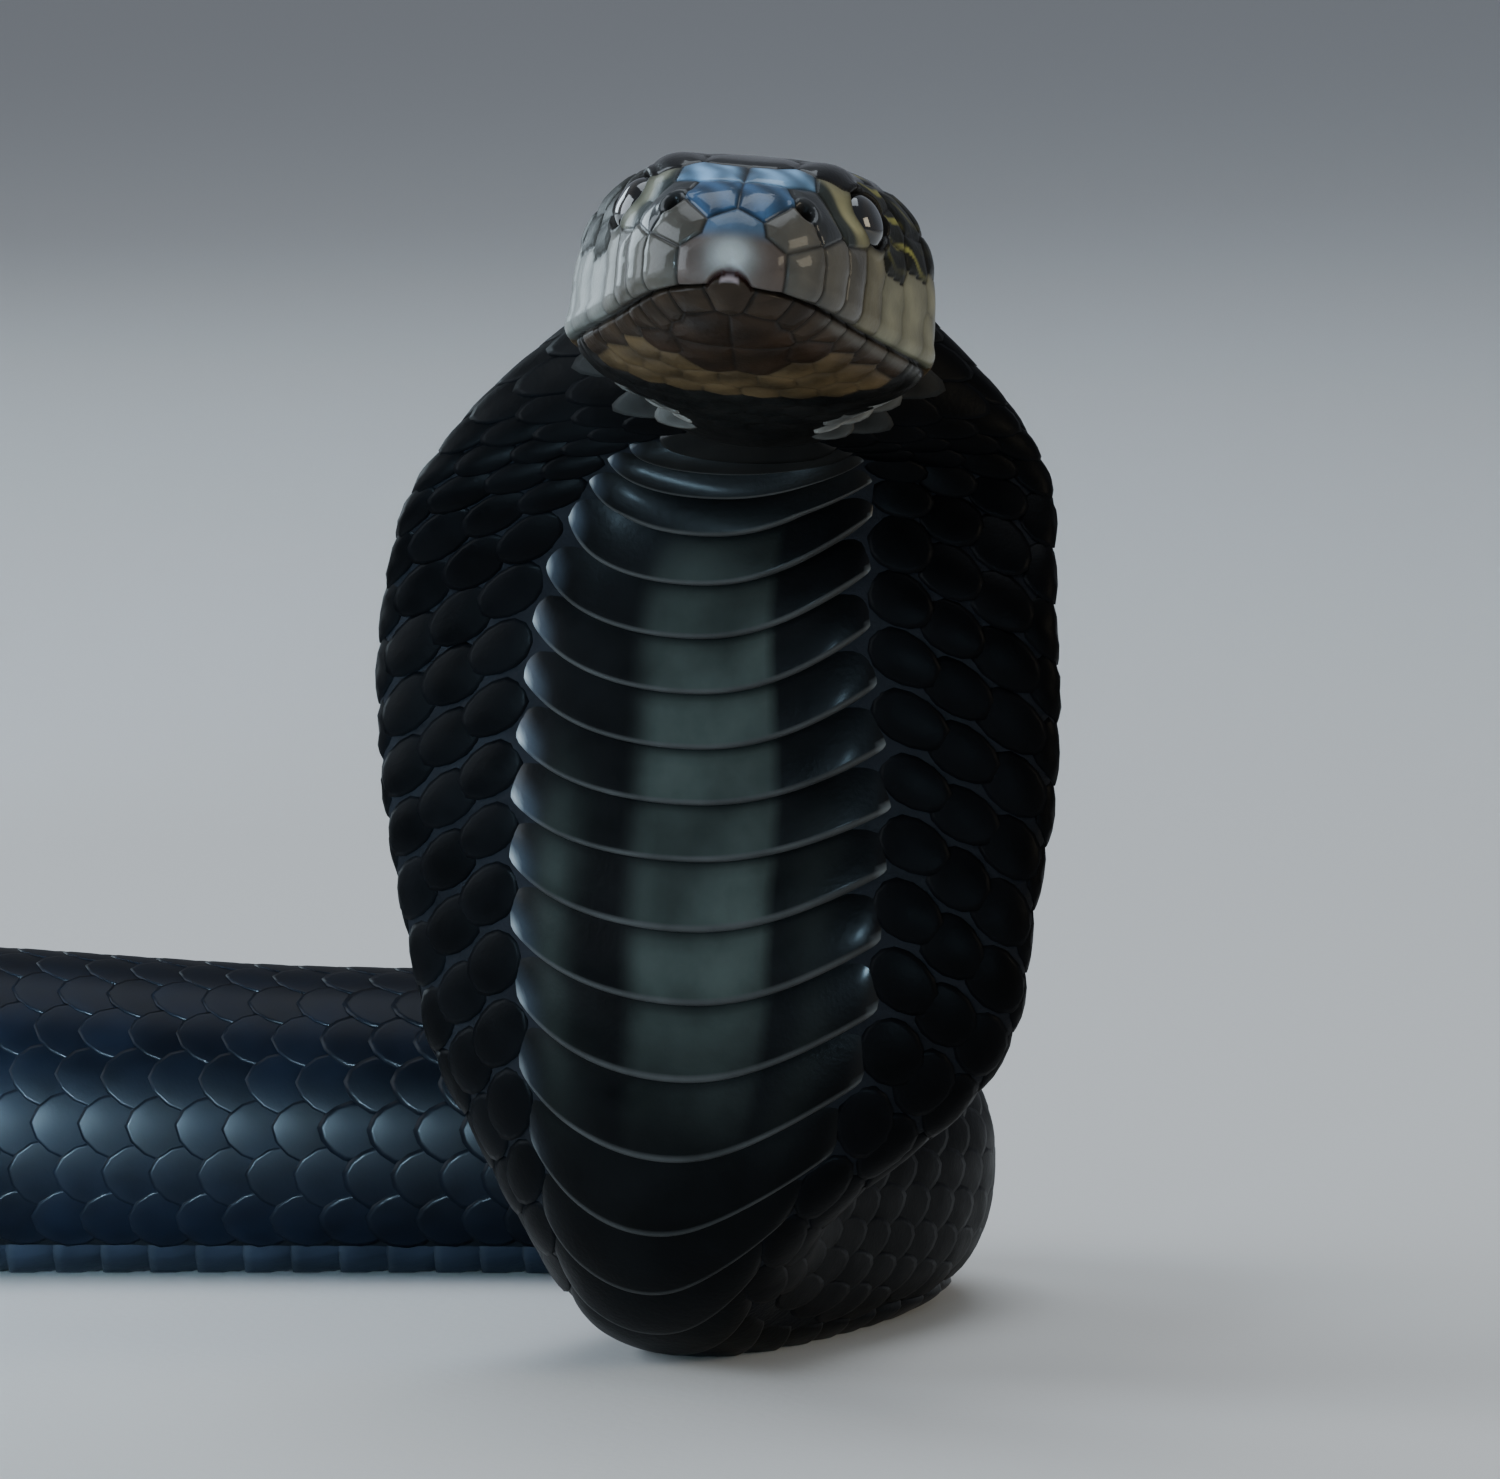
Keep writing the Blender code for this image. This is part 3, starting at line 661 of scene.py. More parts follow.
class CobraStudio(bpy.types.PropertyGroup):
    """Floor and lights."""

    floor_size: bpy.props.FloatProperty(name="Floor size", description="Width of the floor",
                                        default=40.0, unit="LENGTH")
    floor_colour: colour("Floor", "Plain pale floor", (0.700, 0.700, 0.690))
    key: watts("Key light", "main soft light", 14.0)
    top: watts("Top light", "light above and behind", 20.0)
    rim: watts("Rim light", "wide light behind, on the left", 9.0)
    low: watts("Low light", "small light near the floor", 2.8)
    fill: watts("Fill light", "light on the right", 3.0)
    sky: bpy.props.FloatProperty(name="Room light", description="Strength of the light all round",
                                 default=0.26)


GROUPS = (
    ("cobra_head", CobraHead), ("cobra_scales", CobraScales), ("cobra_plates", CobraPlates),
    ("cobra_colours", CobraColours), ("cobra_studio", CobraStudio),
)

# Head shields: the colour of each and the places (d, u, v) that its area lies round. The first two
# tables are for the middle of the head, the others for its left side, mirrored on the right.
MIDDLE_UPPER = {
    "rostral": ("rostral", (0.3, 0.0, 0.6), (1.0, 2.3, -0.2), (1.0, -2.3, -0.2), (1.0, 0.0, 2.6)),
    "frontal": ("crown", (15.2, 0.0, 11.6), (12.6, 0.0, 11.0), (10.8, 1.5, 10.4), (10.8, -1.5, 10.4)),
}
MIDDLE_LOWER = {
    "mental": ("jaw_lip", (1.0, 0.0, -2.5)),
}
SIDE_UPPER = {
    # The blue of the internasals and prefrontals is a painted reflection of the sky.
    "internasal": ("snout", (2.6, 1.9, 5.5), (3.6, 2.3, 6.6)),
    "prefrontal": ("snout_top_painted_reflection", (6.6, 2.0, 8.4), (7.2, 3.7, 8.6)),
    "supraocular": ("crown", (11.0, 5.7, 9.4), (13.6, 6.5, 10.2), (16.2, 6.4, 10.6)),
    "parietal": ("crown", (19.4, 3.2, 12.3), (23.2, 3.4, 12.8), (27.0, 3.0, 13.0), (20.6, 6.8, 11.6)),
    "nasal_front": ("lip", (2.2, 4.4, 3.2)), "nasal_rear": ("nasal", (4.9, 6.5, 4.6), (5.2, 5.6, 6.6)),
    "preocular": ("strip", (8.5, 7.2, 7.8), (8.6, 8.7, 5.2)),
    "postocular_1": ("postocular", (15.9, 9.0, 9.0)), "postocular_2": ("postocular", (16.5, 11.0, 6.8)),
    "postocular_3": ("postocular", (15.9, 11.6, 4.4)), "upper_lip_1": ("lip", (2.6, 5.7, 0.2)),
    "upper_lip_2": ("lip", (5.6, 8.1, 0.4), (5.7, 8.1, 1.6)),
    "upper_lip_3": ("lip", (8.7, 9.5, 0.3), (8.9, 9.5, 2.2)),
    "upper_lip_4": ("cheek_front", (12.1, 10.6, 0.2), (12.1, 10.5, 2.4)),
    "upper_lip_5": ("cheek", (15.5, 11.9, 0.0), (15.5, 11.9, 1.2)),
    "upper_lip_6": ("cheek", (19.2, 13.4, -0.3), (19.3, 13.4, 2.2)),
    "upper_lip_7": ("cheek", (23.2, 14.6, -0.6)), "temple_1": ("temple", (19.8, 11.8, 8.6)),
    "temple_2": ("temple", (19.6, 13.2, 5.6)), "temple_3": ("temple", (23.8, 12.2, 9.8)),
    "temple_4": ("temple", (24.0, 13.9, 6.4)), "temple_5": ("cheek", (24.0, 14.6, 3.0)),
    "nape_1": ("crown", (31.6, 1.8, 12.9)), "nape_2": ("crown", (30.4, 5.4, 12.4)),
    "nape_3": ("crown", (27.6, 8.8, 11.4)), "nape_4": ("temple", (28.2, 12.8, 8.4)),
    "nape_5": ("cheek", (28.4, 14.0, 4.6)), "nape_6": ("cheek", (27.6, 14.4, 0.4)),
    "nape_7": ("jaw_band", (27.6, 13.6, -2.4)),
}
SIDE_LOWER = {
    "lower_lip_1": ("jaw_lip", (2.6, 3.6, -3.0)), "lower_lip_2": ("jaw_lip", (4.6, 5.9, -3.5)),
    "lower_lip_3": ("jaw_lip", (6.9, 7.3, -3.8)), "lower_lip_4": ("jaw_lip", (9.6, 8.4, -4.0)),
    "lower_lip_5": ("jaw_lip", (12.8, 9.5, -4.1)), "lower_lip_6": ("jaw_lip", (16.2, 10.7, -4.4)),
    "lower_lip_7": ("jaw_lip", (20.0, 12.2, -4.5)), "lower_lip_8": ("throat", (24.0, 13.2, -4.5)),
    "front_chin": ("chin", (5.4, 1.8, -4.6), (7.4, 2.5, -4.9)),
    "rear_chin": ("chin", (10.6, 2.3, -5.5), (13.0, 2.7, -5.8)),
}
# For each colour: the clear coat, the shields' swell and how dark their seams are, as shares.
FINISH = {
    "crown": (0.7, 1.0, 0.8), "snout": (0.6, 1.0, 0.8), "snout_top_painted_reflection": (0.6, 1.0, 0.8),
    "rostral": (0.35, 1.0, 0.8), "lip": (0.35, 1.0, 0.8), "nasal": (0.6, 1.0, 0.8),
    "cheek": (0.15, 0.2, 0.28), "cheek_front": (0.2, 0.42, 0.55), "strip": (0.15, 1.0, 0.8),
    "temple": (0.02, 1.0, 0.8), "postocular": (0.02, 1.0, 0.8), "jaw_lip": (0.08, 1.0, 0.8),
    "chin": (0.04, 0.6, 0.6), "jaw_band": (0.04, 0.5, 0.4), "throat": (0.04, 0.5, 0.8),
}
OUT_OF_REACH = 1e6

# Small scales under the throat: rows, and how their colour and spacing change with d.
THROAT_ROWS = 9
THROAT_START = 11.5
THROAT_PITCH = 3.0
THROAT_SPACING = 3.1
CHIN_END = 13.0
BAND_END = 22.0
CHIN_SHIELD_END = 15.5
CHIN_SHIELD_WIDTH = 4.6
LIP_CLEARANCE = 2.2

# Grid of the head's skin: rings, columns, the jaw's least and most share of the outline, how far it
# runs on over the neck and sinks there, and how the rings crowd towards the snout.
HEAD_RINGS = 292
JAW_COLUMNS = 56
CROWN_COLUMNS = 108
LEAST_JAW = 0.16
MOST_JAW = 0.6
NECK_OVERLAP = 7.0
NECK_SINK = 0.55
EVEN_SHARE = 0.3
TIP_CROWDING = 2.4

# Ranges of d over which the shields, the mouth and the tongue notch fade out, and the notch's
# half-widths in the mouth's line and in the skin.
SHIELDS_FADE = (35.0, 31.0)
MOUTH_FADE = (27.5, 25.0)
NOTCH_FADE = (3.5, 1.2)
NOTCH_ARCH = 1.75
NOTCH_HOLLOW = 2.1

# Eye and nostril on the snake's left side, at (d, v), in millimetres.
EYE_AT = (12.1, 6.9)
EYE_DEPTH = 1.45
EYE_RADIUS = 2.55
EYE_HEIGHT = 2.1
EYE_POWER = 2.5
EYE_REAR = 2.6
EYE_RINGS = 26
EYE_COLUMNS = 64
SOCKET_DEPTH = 1.9
NOSTRIL_AT = (3.3, 5.2)
NOSTRIL_SIZE = (1.1, 0.85)


def throat_scales():
    """Small scales in offset rows behind the chin shields: the colour and the place of each."""
    scales = []
    for i in range(THROAT_ROWS):
        d = THROAT_START + THROAT_PITCH * i
        tone = "chin" if d < CHIN_END else "jaw_band" if d < BAND_END else "throat"
        clear = CHIN_SHIELD_WIDTH if d < CHIN_SHIELD_END else -1.0
        level, power = widest_level(d), chin_power(d)
        for j in range(-6, 7):
            u = (j + 0.5 * (i % 2)) * THROAT_SPACING
            if clear < abs(u) < head_width(d) - LIP_CLEARANCE:
                drop = (1 - (abs(u) / head_width(d)) ** power) ** (1 / power)
                scales.append((tone, (d, u, float(level - (level - head_bottom(d)) * drop))))
    return scales


def shield_points():
    """Places, shield numbers, jaw flags and colour names of all head shields, both sides, with the
    small throat scales at the end."""
    shields = []
    for rows, on_upper, sides in (
        (MIDDLE_UPPER.values(), True, (1,)), (MIDDLE_LOWER.values(), False, (1,)),
        (SIDE_UPPER.values(), True, (1, -1)), (SIDE_LOWER.values(), False, (1, -1)),
        (throat_scales(), False, (1,)),
    ):
        shields += [(row, on_upper, side) for row in rows for side in sides]
    marks = [((d, u * side, v), number, on_upper)
             for number, (row, on_upper, side) in enumerate(shields) for d, u, v in row[1:]]
    places, numbers, upper = zip(*marks)
    return np.array(places), np.array(numbers), np.array(upper), [row[0] for row, _, _ in shields]


def shield_borders(spot, is_upper):
    """Shield number and distance to its nearest border, for places on the head.

    Each shield's area lies round its places: the nearest place wins, and the border to the next
    shield is the plane halfway between their nearest places.
    """
    places, numbers, upper, colours = shield_points()
    away = ((spot[:, None, :] - places[None, :, :]) ** 2).sum(axis=2)
    away[is_upper[:, None] != upper[None, :]] = OUT_OF_REACH
    first = np.argmin(away, axis=1)
    rows = np.arange(len(spot))
    best = away[rows, first]
    away[numbers[first][:, None] == numbers[None, :]] = OUT_OF_REACH
    second = np.argmin(away, axis=1)
    gap = np.linalg.norm(places[first] - places[second], axis=1)
    return numbers[first], (away[rows, second] - best) / (2 * gap), colours


def shield_finish(colours, number):
    """Clear coat, swell and darkness of the seam at each point, by the colour of its shield."""
    return np.array([FINISH[tone] for tone in colours])[number].T


def mouth_height(d, u, notch):
    """Level of the mouth's line: the lip table, arched up over the tongue notch at the snout."""
    arch = np.clip(1 - (u / NOTCH_ARCH) ** 2, 0, 1) ** 0.8 * ramp(d, *NOTCH_FADE)
    return mouth_level(d) + notch * arch


def head_grid():
    """Rings of s and angle over the head: in each ring, points evenly spaced along the outline from
    the chin to the mouth's line and from there to the crown, and mirrored on the other side."""
    t = np.linspace(0, 1, HEAD_RINGS + 1)[1:]
    d = (HEAD_LENGTH + NECK_OVERLAP) * (EVEN_SHARE * t + (1 - EVEN_SHARE) * t ** TIP_CROWDING)
    fine = np.radians(np.linspace(-90, 90, 2401))
    angles = []
    for at in d:
        across, up = head_section(np.full(len(fine), min(at - HEAD_LENGTH, 0.0)), fine)
        arc = np.concatenate([[0], np.cumsum(np.hypot(np.diff(across), np.diff(up)))])
        lip = np.interp(mouth_level(at) - NAPE_LEVEL, up, arc)
        lip = np.clip(lip, LEAST_JAW * arc[-1], MOST_JAW * arc[-1])
        marks = np.concatenate([np.linspace(0, lip, JAW_COLUMNS, endpoint=False),
                                np.linspace(lip, arc[-1], CROWN_COLUMNS + 1)])
        half = np.interp(marks, arc, fine)
        angles.append(np.concatenate([half, math.pi - half[-2:0:-1]]))
    return d - HEAD_LENGTH, np.array(angles)


def head_frame(d, u, v):
    """World place, in millimetres, of a point given in the head's own measures."""
    place = LINE_PLACE[0] + (d - HEAD_LENGTH) * LINE_ALONG[0]
    return place + u * LINE_LEFT[0] + (v - NAPE_LEVEL) * LINE_BACK[0]


def side_spot(d, v, side):
    """Place and outward direction of the head's side at d and level v."""
    level = widest_level(d)
    lift = (v - level) / (head_top(d) - level)
    angle = np.arcsin(lift ** (crown_power(d) / 2))
    angle = angle if side > 0 else math.pi - angle
    return skin_place(d - HEAD_LENGTH, angle), skin_normal(d - HEAD_LENGTH, angle)


def eye_dome(reach):
    """Height of the eye's surface over its rim plane at a distance from its axis, in radii."""
    return EYE_HEIGHT * np.clip(1 - np.abs(reach) ** EYE_POWER, 0, 1) ** 0.5


def axis_measures(points, spot, out):
    """Distance of each point from the axis through a spot, and its height along that axis."""
    offset = points - spot
    height = offset @ out
    return np.linalg.norm(offset - height[:, None] * out, axis=1), height


class COBRA_OT_head_skin(bpy.types.Operator):
    """Skin of the head: shields, sutures, lips, mouth, brows, nostrils and eye openings"""

    bl_idname = "cobra.head_skin"
    bl_label = "Head skin"

    def execute(self, context):
        """A closed grid of rings over the head, moved out along its normals by the relief."""
        sizes = context.scene.cobra_head
        s, angles = head_grid()
        rings, columns = angles.shape
        s = np.repeat(s[:, None], columns, axis=1)
        base = skin_place(s, angles).reshape(-1, 3)
        out = skin_normal(s, angles).reshape(-1, 3)
        d = (s + HEAD_LENGTH).ravel()
        offset = base - LINE_PLACE[0]
        u = offset @ LINE_LEFT[0]
        v = offset @ LINE_BACK[0] + NAPE_LEVEL
        turn = np.degrees(np.arcsin(np.sin(angles.ravel())))
        in_mouth = ramp(d, *MOUTH_FADE)
        over_mouth = v - mouth_height(d, u, sizes.notch)
        number, border, colours = shield_borders(np.stack([d, u, v], axis=1), over_mouth > 0)
        swell = shield_finish(colours, number)[1] * ramp(d, *SHIELDS_FADE)
        relief = sizes.pillow * (1 - bump_at(border, 0, sizes.pillow_width)) * swell
        relief -= sizes.suture * bump_at(border, 0, sizes.suture_width) * swell
        for centre, level, long, wide, height in (BROW, LORE):
            relief += height * bump_at(d, centre, long) * bump_at(turn, level, wide)
        relief += sizes.lip * bump_at(over_mouth, 1.0, 0.9) * in_mouth * ramp(d, 0.5, 4)
        under_lip = np.where(over_mouth < 0, np.exp(over_mouth / 2.5), 0)
        relief -= sizes.jaw_inset * in_mouth * under_lip * ramp(d, 0.3, 2.0)
        in_notch = np.clip(1 - (u / NOTCH_HOLLOW) ** 2, 0, 1) * ramp(d, *NOTCH_FADE)
        relief -= sizes.mouth * bump_at(over_mouth, 0, 0.17 + 0.15 * in_notch) * in_mouth
        relief -= 0.3 * in_notch * ramp(over_mouth, 0.1, -0.1) * ramp(over_mouth, -2.2, -1.0)
        relief -= NECK_SINK * ramp(d, HEAD_LENGTH + 3.5, HEAD_LENGTH + NECK_OVERLAP)
        points = base + out * relief[:, None]
        # Painted shade: dark rings where the eyeballs meet the skin, and in and round the nostril pits.
        dark = np.zeros(len(points))
        for side in (1, -1):
            points, rim = sink_eye(points, side, sizes.eye_rim)
            points, pit = sink_nostril(points, side, sizes.nostril)
            dark = np.maximum(dark, np.maximum(rim, pit))
        tint = self.paint(context.scene.cobra_colours, d, u, v, number, border, colours, over_mouth,
                          in_notch, in_mouth, dark)
        pole = head_frame(0.0, 0.0, widest_level(0.0))
        points = np.concatenate([points, pole[None, :]])
        tint = np.concatenate([tint, tint[:1]])
        faces = grid_faces(rings, columns, True).tolist() + fan(rings * columns, 0, columns, False)
        corners = np.concatenate([grid_corner_uv(rings, columns), np.full((3 * columns, 2), 0.006)])
        look = skin_look("head_shield_gloss", (210.0, 3000.0, 1300.0), (0.3, 0.5), None, 0.03, 0.3,
                         0.14)
        new_piece("head_skin", points, faces, tint, corners, look,
                  ("head", "lower_jaw"))
        return {"FINISHED"}

    def paint(self, tones, d, u, v, number, border, colours, over_mouth, in_notch, in_mouth, dark):
        """Each shield in its own colour with dark seams, then the pale and dark touches over it.
        The snout's blue is a painted reflection of the sky, and the yellow flecks behind the left eye
        are painted glints. The warmer cheeks on the left are painted warm bounce light, and the dark
        rings round the eyes and in the nostrils are painted shade.

        The last column is the share of clear coat.
        """
        def having(*names):
            """Whether the shield at each point has one of the colours, as a column."""
            return np.array([tone in names for tone in colours])[number][:, None]

        gloss, _, faint = shield_finish(colours, number)
        tint = np.array([list(getattr(tones, tone)) for tone in colours])[number]
        snout_tip = layered(tones.rostral,
                            (tones.rostral_middle, bump_at(u, 0, 1.5) * bump_at(v, 0.5, 1.5)),
                            (tones.rostral_top, ramp(v, 1.6, 3.0)))
        tint = np.where(having("rostral"), snout_tip, tint)
        streak = 0.5 + 0.5 * np.sin(2.3 * u + 1.9 * v + 0.8 * np.sin(1.7 * d))
        # Painted reflection of the sky on the blue snout shields: lighter and darker in streaks, with
        # dark patches where it breaks.
        wedge = bump_at(u, -0.2, 0.8) * ramp(d, 4.2, 5.6) + 0.7 * ramp(np.abs(u), 3.6, 4.8)
        painted_sky_reflection = mix(tint * (0.55 + 0.9 * streak)[:, None], tones.snout_dark,
                      0.9 * np.clip(wedge, 0, 1))
        tint = np.where(having("snout", "snout_top_painted_reflection"), painted_sky_reflection, tint)
        middle = ramp(border, 0.15, 1.5)
        # Painted warm bounce light: the cheeks and eye strips on the snake's left side tinted warmer.
        painted_warm_bounce = 1 + ramp(u, 3, 8)[:, None] * np.array([0.16, 0.10, -0.16])
        clouded_and_bounce_lit = tint * (0.74 + 0.26 * middle + 0.14 * streak)[:, None] * painted_warm_bounce
        tint = np.where(having("cheek", "cheek_front", "strip"), clouded_and_bounce_lit, tint)
        front = 0.9 * having("strip")[:, 0] * ramp(d + 0.5 * streak, 9.2, 8.0)
        # Painted glints behind the eye on the snake's left side, as yellow streaks.
        painted_glints = ramp(np.sin(3.1 * v + 0.9 * d + 1.4 * np.sin(1.3 * d)), 0.5, 0.9) * streak
        painted_glints = painted_glints * ramp(u, 4, 8) * bump_at(d, 17.5, 3.2) * ramp(v, 3.0, 5.0)
        tint = layered(tint, (tones.snout_dark, front), (tones.painted_glints, 0.8 * painted_glints),
                       (tones.scale, 0.85 * ramp(d, 24, 31) * ramp(v, -3.5, -1.0)))
        under = (over_mouth < 0) & (d > 2)
        patch = 0.5 + 0.5 * np.sin(d * 1.1 + 0.7 * np.sin(u * 0.9)) * np.cos(u * 0.8 + 0.4 * d)
        tint = tint * np.where(under, 0.6 + 0.7 * patch, 1.0)[:, None]
        lip_edge = bump_at(over_mouth, -0.6, 0.3) * in_mouth * ramp(d, 5, 10) * ramp(u, -4, 4)
        tip = np.clip(1 - (u / 0.85) ** 4, 0, 1) * ramp(d, 3.0, 1.4)
        tip = tip * ramp(over_mouth, -0.24, -0.36) * ramp(over_mouth, -0.95, -0.65)
        mouth = bump_at(over_mouth, 0, 0.2 + 0.12 * in_notch) * in_mouth
        tint = layered(
            tint,
            (tones.throat, ramp(d, 30.5, 33.5) * ramp(v, -1.0, -3.5)),
            (tones.cheek, 0.35 * lip_edge),
            (tones.mental, 0.9 * tip),
            (tones.suture, faint * bump_at(border, 0, 0.15) * ramp(d, 36, 32)),
            (tones.suture, 0.85 * mouth * (1 - in_notch)),
            (tones.notch, np.clip(1.1 * mouth * in_notch, 0, 1)),
            # painted shade round the eyes and in the nostrils
            (tones.suture, dark),
        )
        gloss = gloss * (0.5 + 0.5 * ramp(border, 0.05, 0.3)) * (1 - dark) * (1 - ramp(d, 28, 34))
        return np.concatenate([tint, gloss[:, None]], axis=1)


def sink_eye(points, side, rim):
    """Skin round one eye: a raised ring, and inside it the skin falls away behind the eyeball."""
    spot, out = side_spot(*EYE_AT, side)
    reach, height = axis_measures(points, spot, out)
    near = (height > -4) & (reach < 6)
    ring = rim * bump_at(reach, EYE_RADIUS + 0.35, 0.3) * near
    inside = ramp(reach, EYE_RADIUS + 0.08, EYE_RADIUS - 0.3) * near
    moved = points + out * (ring - (height + SOCKET_DEPTH) * inside)[:, None]
    # The second value marks the painted shade where the eyeball meets the skin.
    return moved, bump_at(reach, EYE_RADIUS + 0.1, 0.42) * near


def sink_nostril(points, side, depth):
    """Pit of one nostril: an oval that leans back at the top, with a faint ring round it."""
    spot, out = side_spot(*NOSTRIL_AT, side)
    offset = points - spot
    up = unit(LINE_BACK[0] - out * (LINE_BACK[0] @ out))
    fore = np.cross(up, out)
    reach = np.hypot((offset @ up) / NOSTRIL_SIZE[0], (offset @ fore) / NOSTRIL_SIZE[1])
    near = offset @ out > -3
    pit = depth * ramp(reach, 1.05, 0.35) * near
    ring = 0.14 * bump_at(reach, 1.35, 0.3) * near
    # The second value marks the painted shade in and round the pit.
    return points + out * (ring - pit)[:, None], ramp(reach, 1.05, 0.7) * near


class COBRA_OT_eyes(bpy.types.Operator):
    """Both eyes: one clear scale over a dark eye with a faint brown ring"""

    bl_idname = "cobra.eyes"
    bl_label = "Eyes"

    def execute(self, context):
        """A dome of rings round the eye's axis, as high as the eye's profile, closed behind."""
        reach = np.sin(np.linspace(0, math.pi / 2, EYE_RINGS + 1))[1:]
        turn = around(EYE_COLUMNS)[:, None]
        apex = EYE_RINGS * EYE_COLUMNS
        faces = grid_faces(EYE_RINGS, EYE_COLUMNS, True)[:, ::-1].tolist() + fan(apex, 0, EYE_COLUMNS)
        faces += fan(apex + 1, apex - EYE_COLUMNS, EYE_COLUMNS, False)
        far = np.concatenate([np.repeat(reach, EYE_COLUMNS), [0.0, 1.0]])
        tint = mix((0.003, 0.003, 0.003), (0.014, 0.010, 0.006), bump_at(far, 0.56, 0.13))
        look = skin_look("eye_gloss", (900.0, 5200.0, 2600.0), (0.06, 0.14), 1.0, 0.004, 0.5,
                         polish=0.03)
        for name, side in (("eye_left", 1), ("eye_right", -1)):
            spot, out = side_spot(*EYE_AT, side)
            up = unit(LINE_BACK[0] - out * (LINE_BACK[0] @ out))
            rim = np.cos(turn) * up + np.sin(turn) * np.cross(out, up)
            high = (eye_dome(reach) - EYE_DEPTH)[:, None, None] * out
            front = spot + EYE_RADIUS * reach[:, None, None] * rim + high
            ends = [spot + (eye_dome(0.0) - EYE_DEPTH) * out, spot - EYE_REAR * out]
            points = np.concatenate([front.reshape(-1, 3), ends])
            piece = new_piece(name + "_ball", points, faces, tint, None, look, (name,))
            turn_outwards(piece.data, spot - out)
        return {"FINISHED"}


def turn_outwards(mesh, inner):
    """Turns the mesh's faces over if its first face looks towards the inner point, in millimetres."""
    face = mesh.polygons[0]
    if face.normal.dot(face.center - Vector(inner * MM)) < 0:
        mesh.flip_normals()


class COBRA_OT_body_skin(bpy.types.Operator):
    """Skin between the scales and under the plates, from the nape to the tip of the tail"""

    bl_idname = "cobra.body_skin"
    bl_label = "Body skin"

    def execute(self, context):
        """Rings round the centreline, drawn in under the scales, with a cap over the tail's tip."""
        s = np.concatenate([np.arange(SKIN_START, ORIGIN_S, FINE_STEP),
                            np.arange(ORIGIN_S, TAIL_END, COARSE_STEP), [TAIL_END]])
        rings, columns = len(s), SKIN_COLUMNS
        s, angles = np.meshgrid(s, around(columns), indexing="ij")
        inset = (0.16 + 0.5 * ramp(s, 6, 1)) * np.minimum(1, half_width(s) / 3.0)
        wrinkle = 0.05 * np.sin(s * 2.3 + 2.0 * np.sin(angles * 3)) * hood_spread(s)
        end = along_line(LINE_PLACE, TAIL_END) + TIP_LENGTH * LINE_ALONG[-1]
        points = np.concatenate([lifted(s, angles, wrinkle - inset).reshape(-1, 3), end[None, :]])
        faces = grid_faces(rings, columns, True).tolist()
        faces += fan(rings * columns, (rings - 1) * columns, columns)
        corners = np.concatenate([grid_corner_uv(rings, columns), np.full((3 * columns, 2), 0.995)])
        tones = context.scene.cobra_colours
        tint = mix(tones.scale, tones.between, (0.35 + 0.65 * hood_spread(s)).ravel())
        tint = np.concatenate([tint, tint[-1:]])
        look = skin_look("skin_between", (160.0, 1800.0, 700.0), (0.4, 0.6), 0.0, 0.09, 0.35, 0.06)
        nodes = [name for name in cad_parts
                 if name.startswith(("nape", "hood", "lower_neck", "trunk", "tail"))]
        piece = new_piece("body_skin", points, faces, tint, corners, look, nodes)
        turn_outwards(piece.data, LINE_PLACE[0])
        return {"FINISHED"}


def disc_template(segments, radii):
    """Points of a flat scale, as direction and reach from its middle, with its faces: a fan in the
    middle, rings of squares, and a last ring that is the skirt down into the skin."""
    direction = np.concatenate([[0.0], np.tile(around(segments), len(radii))])
    reach = np.concatenate([[0.0], np.repeat(radii, segments)])
    squares = np.roll(grid_faces(len(radii), segments, True, 1)[:, ::-1], 1, axis=1)
    return direction, reach, fan(0, 1, segments) + squares.tolist()


def ring_marks(start, end):
    """Starts of the rings along the body, each a ring's length after the last, up to the first that
    isn't before the end."""
    marks = [start]
    while marks[-1] < end:
        marks.append(marks[-1] + float(ring_pitch(marks[-1])))
    return np.array(marks)


def scale_centres(start, end):
    """Places of the scales: rings along the body, rows round it, every other row half a ring on.

    A row keeps its number from the middle of the back, so as the count falls along the body the
    outermost rows run out against the belly plates.
    """
    marks = ring_marks(PLATED_FROM - 3 * ring_pitch(0.0), TAIL_END - 3)[:-1]
    marks = marks[(marks >= start) & (marks < end)]
    s, row = np.meshgrid(marks, np.arange(-MOST_ROWS, MOST_ROWS + 1), indexing="ij")
    s = s + 0.5 * ring_pitch(s) * (row % 2)
    count = scale_rows(s)
    across = 2 * row / count
    keep = (np.abs(2 * row) <= count - 0.9) & (s > first_scale(np.abs(across)))
    return s[keep], row[keep], across[keep]


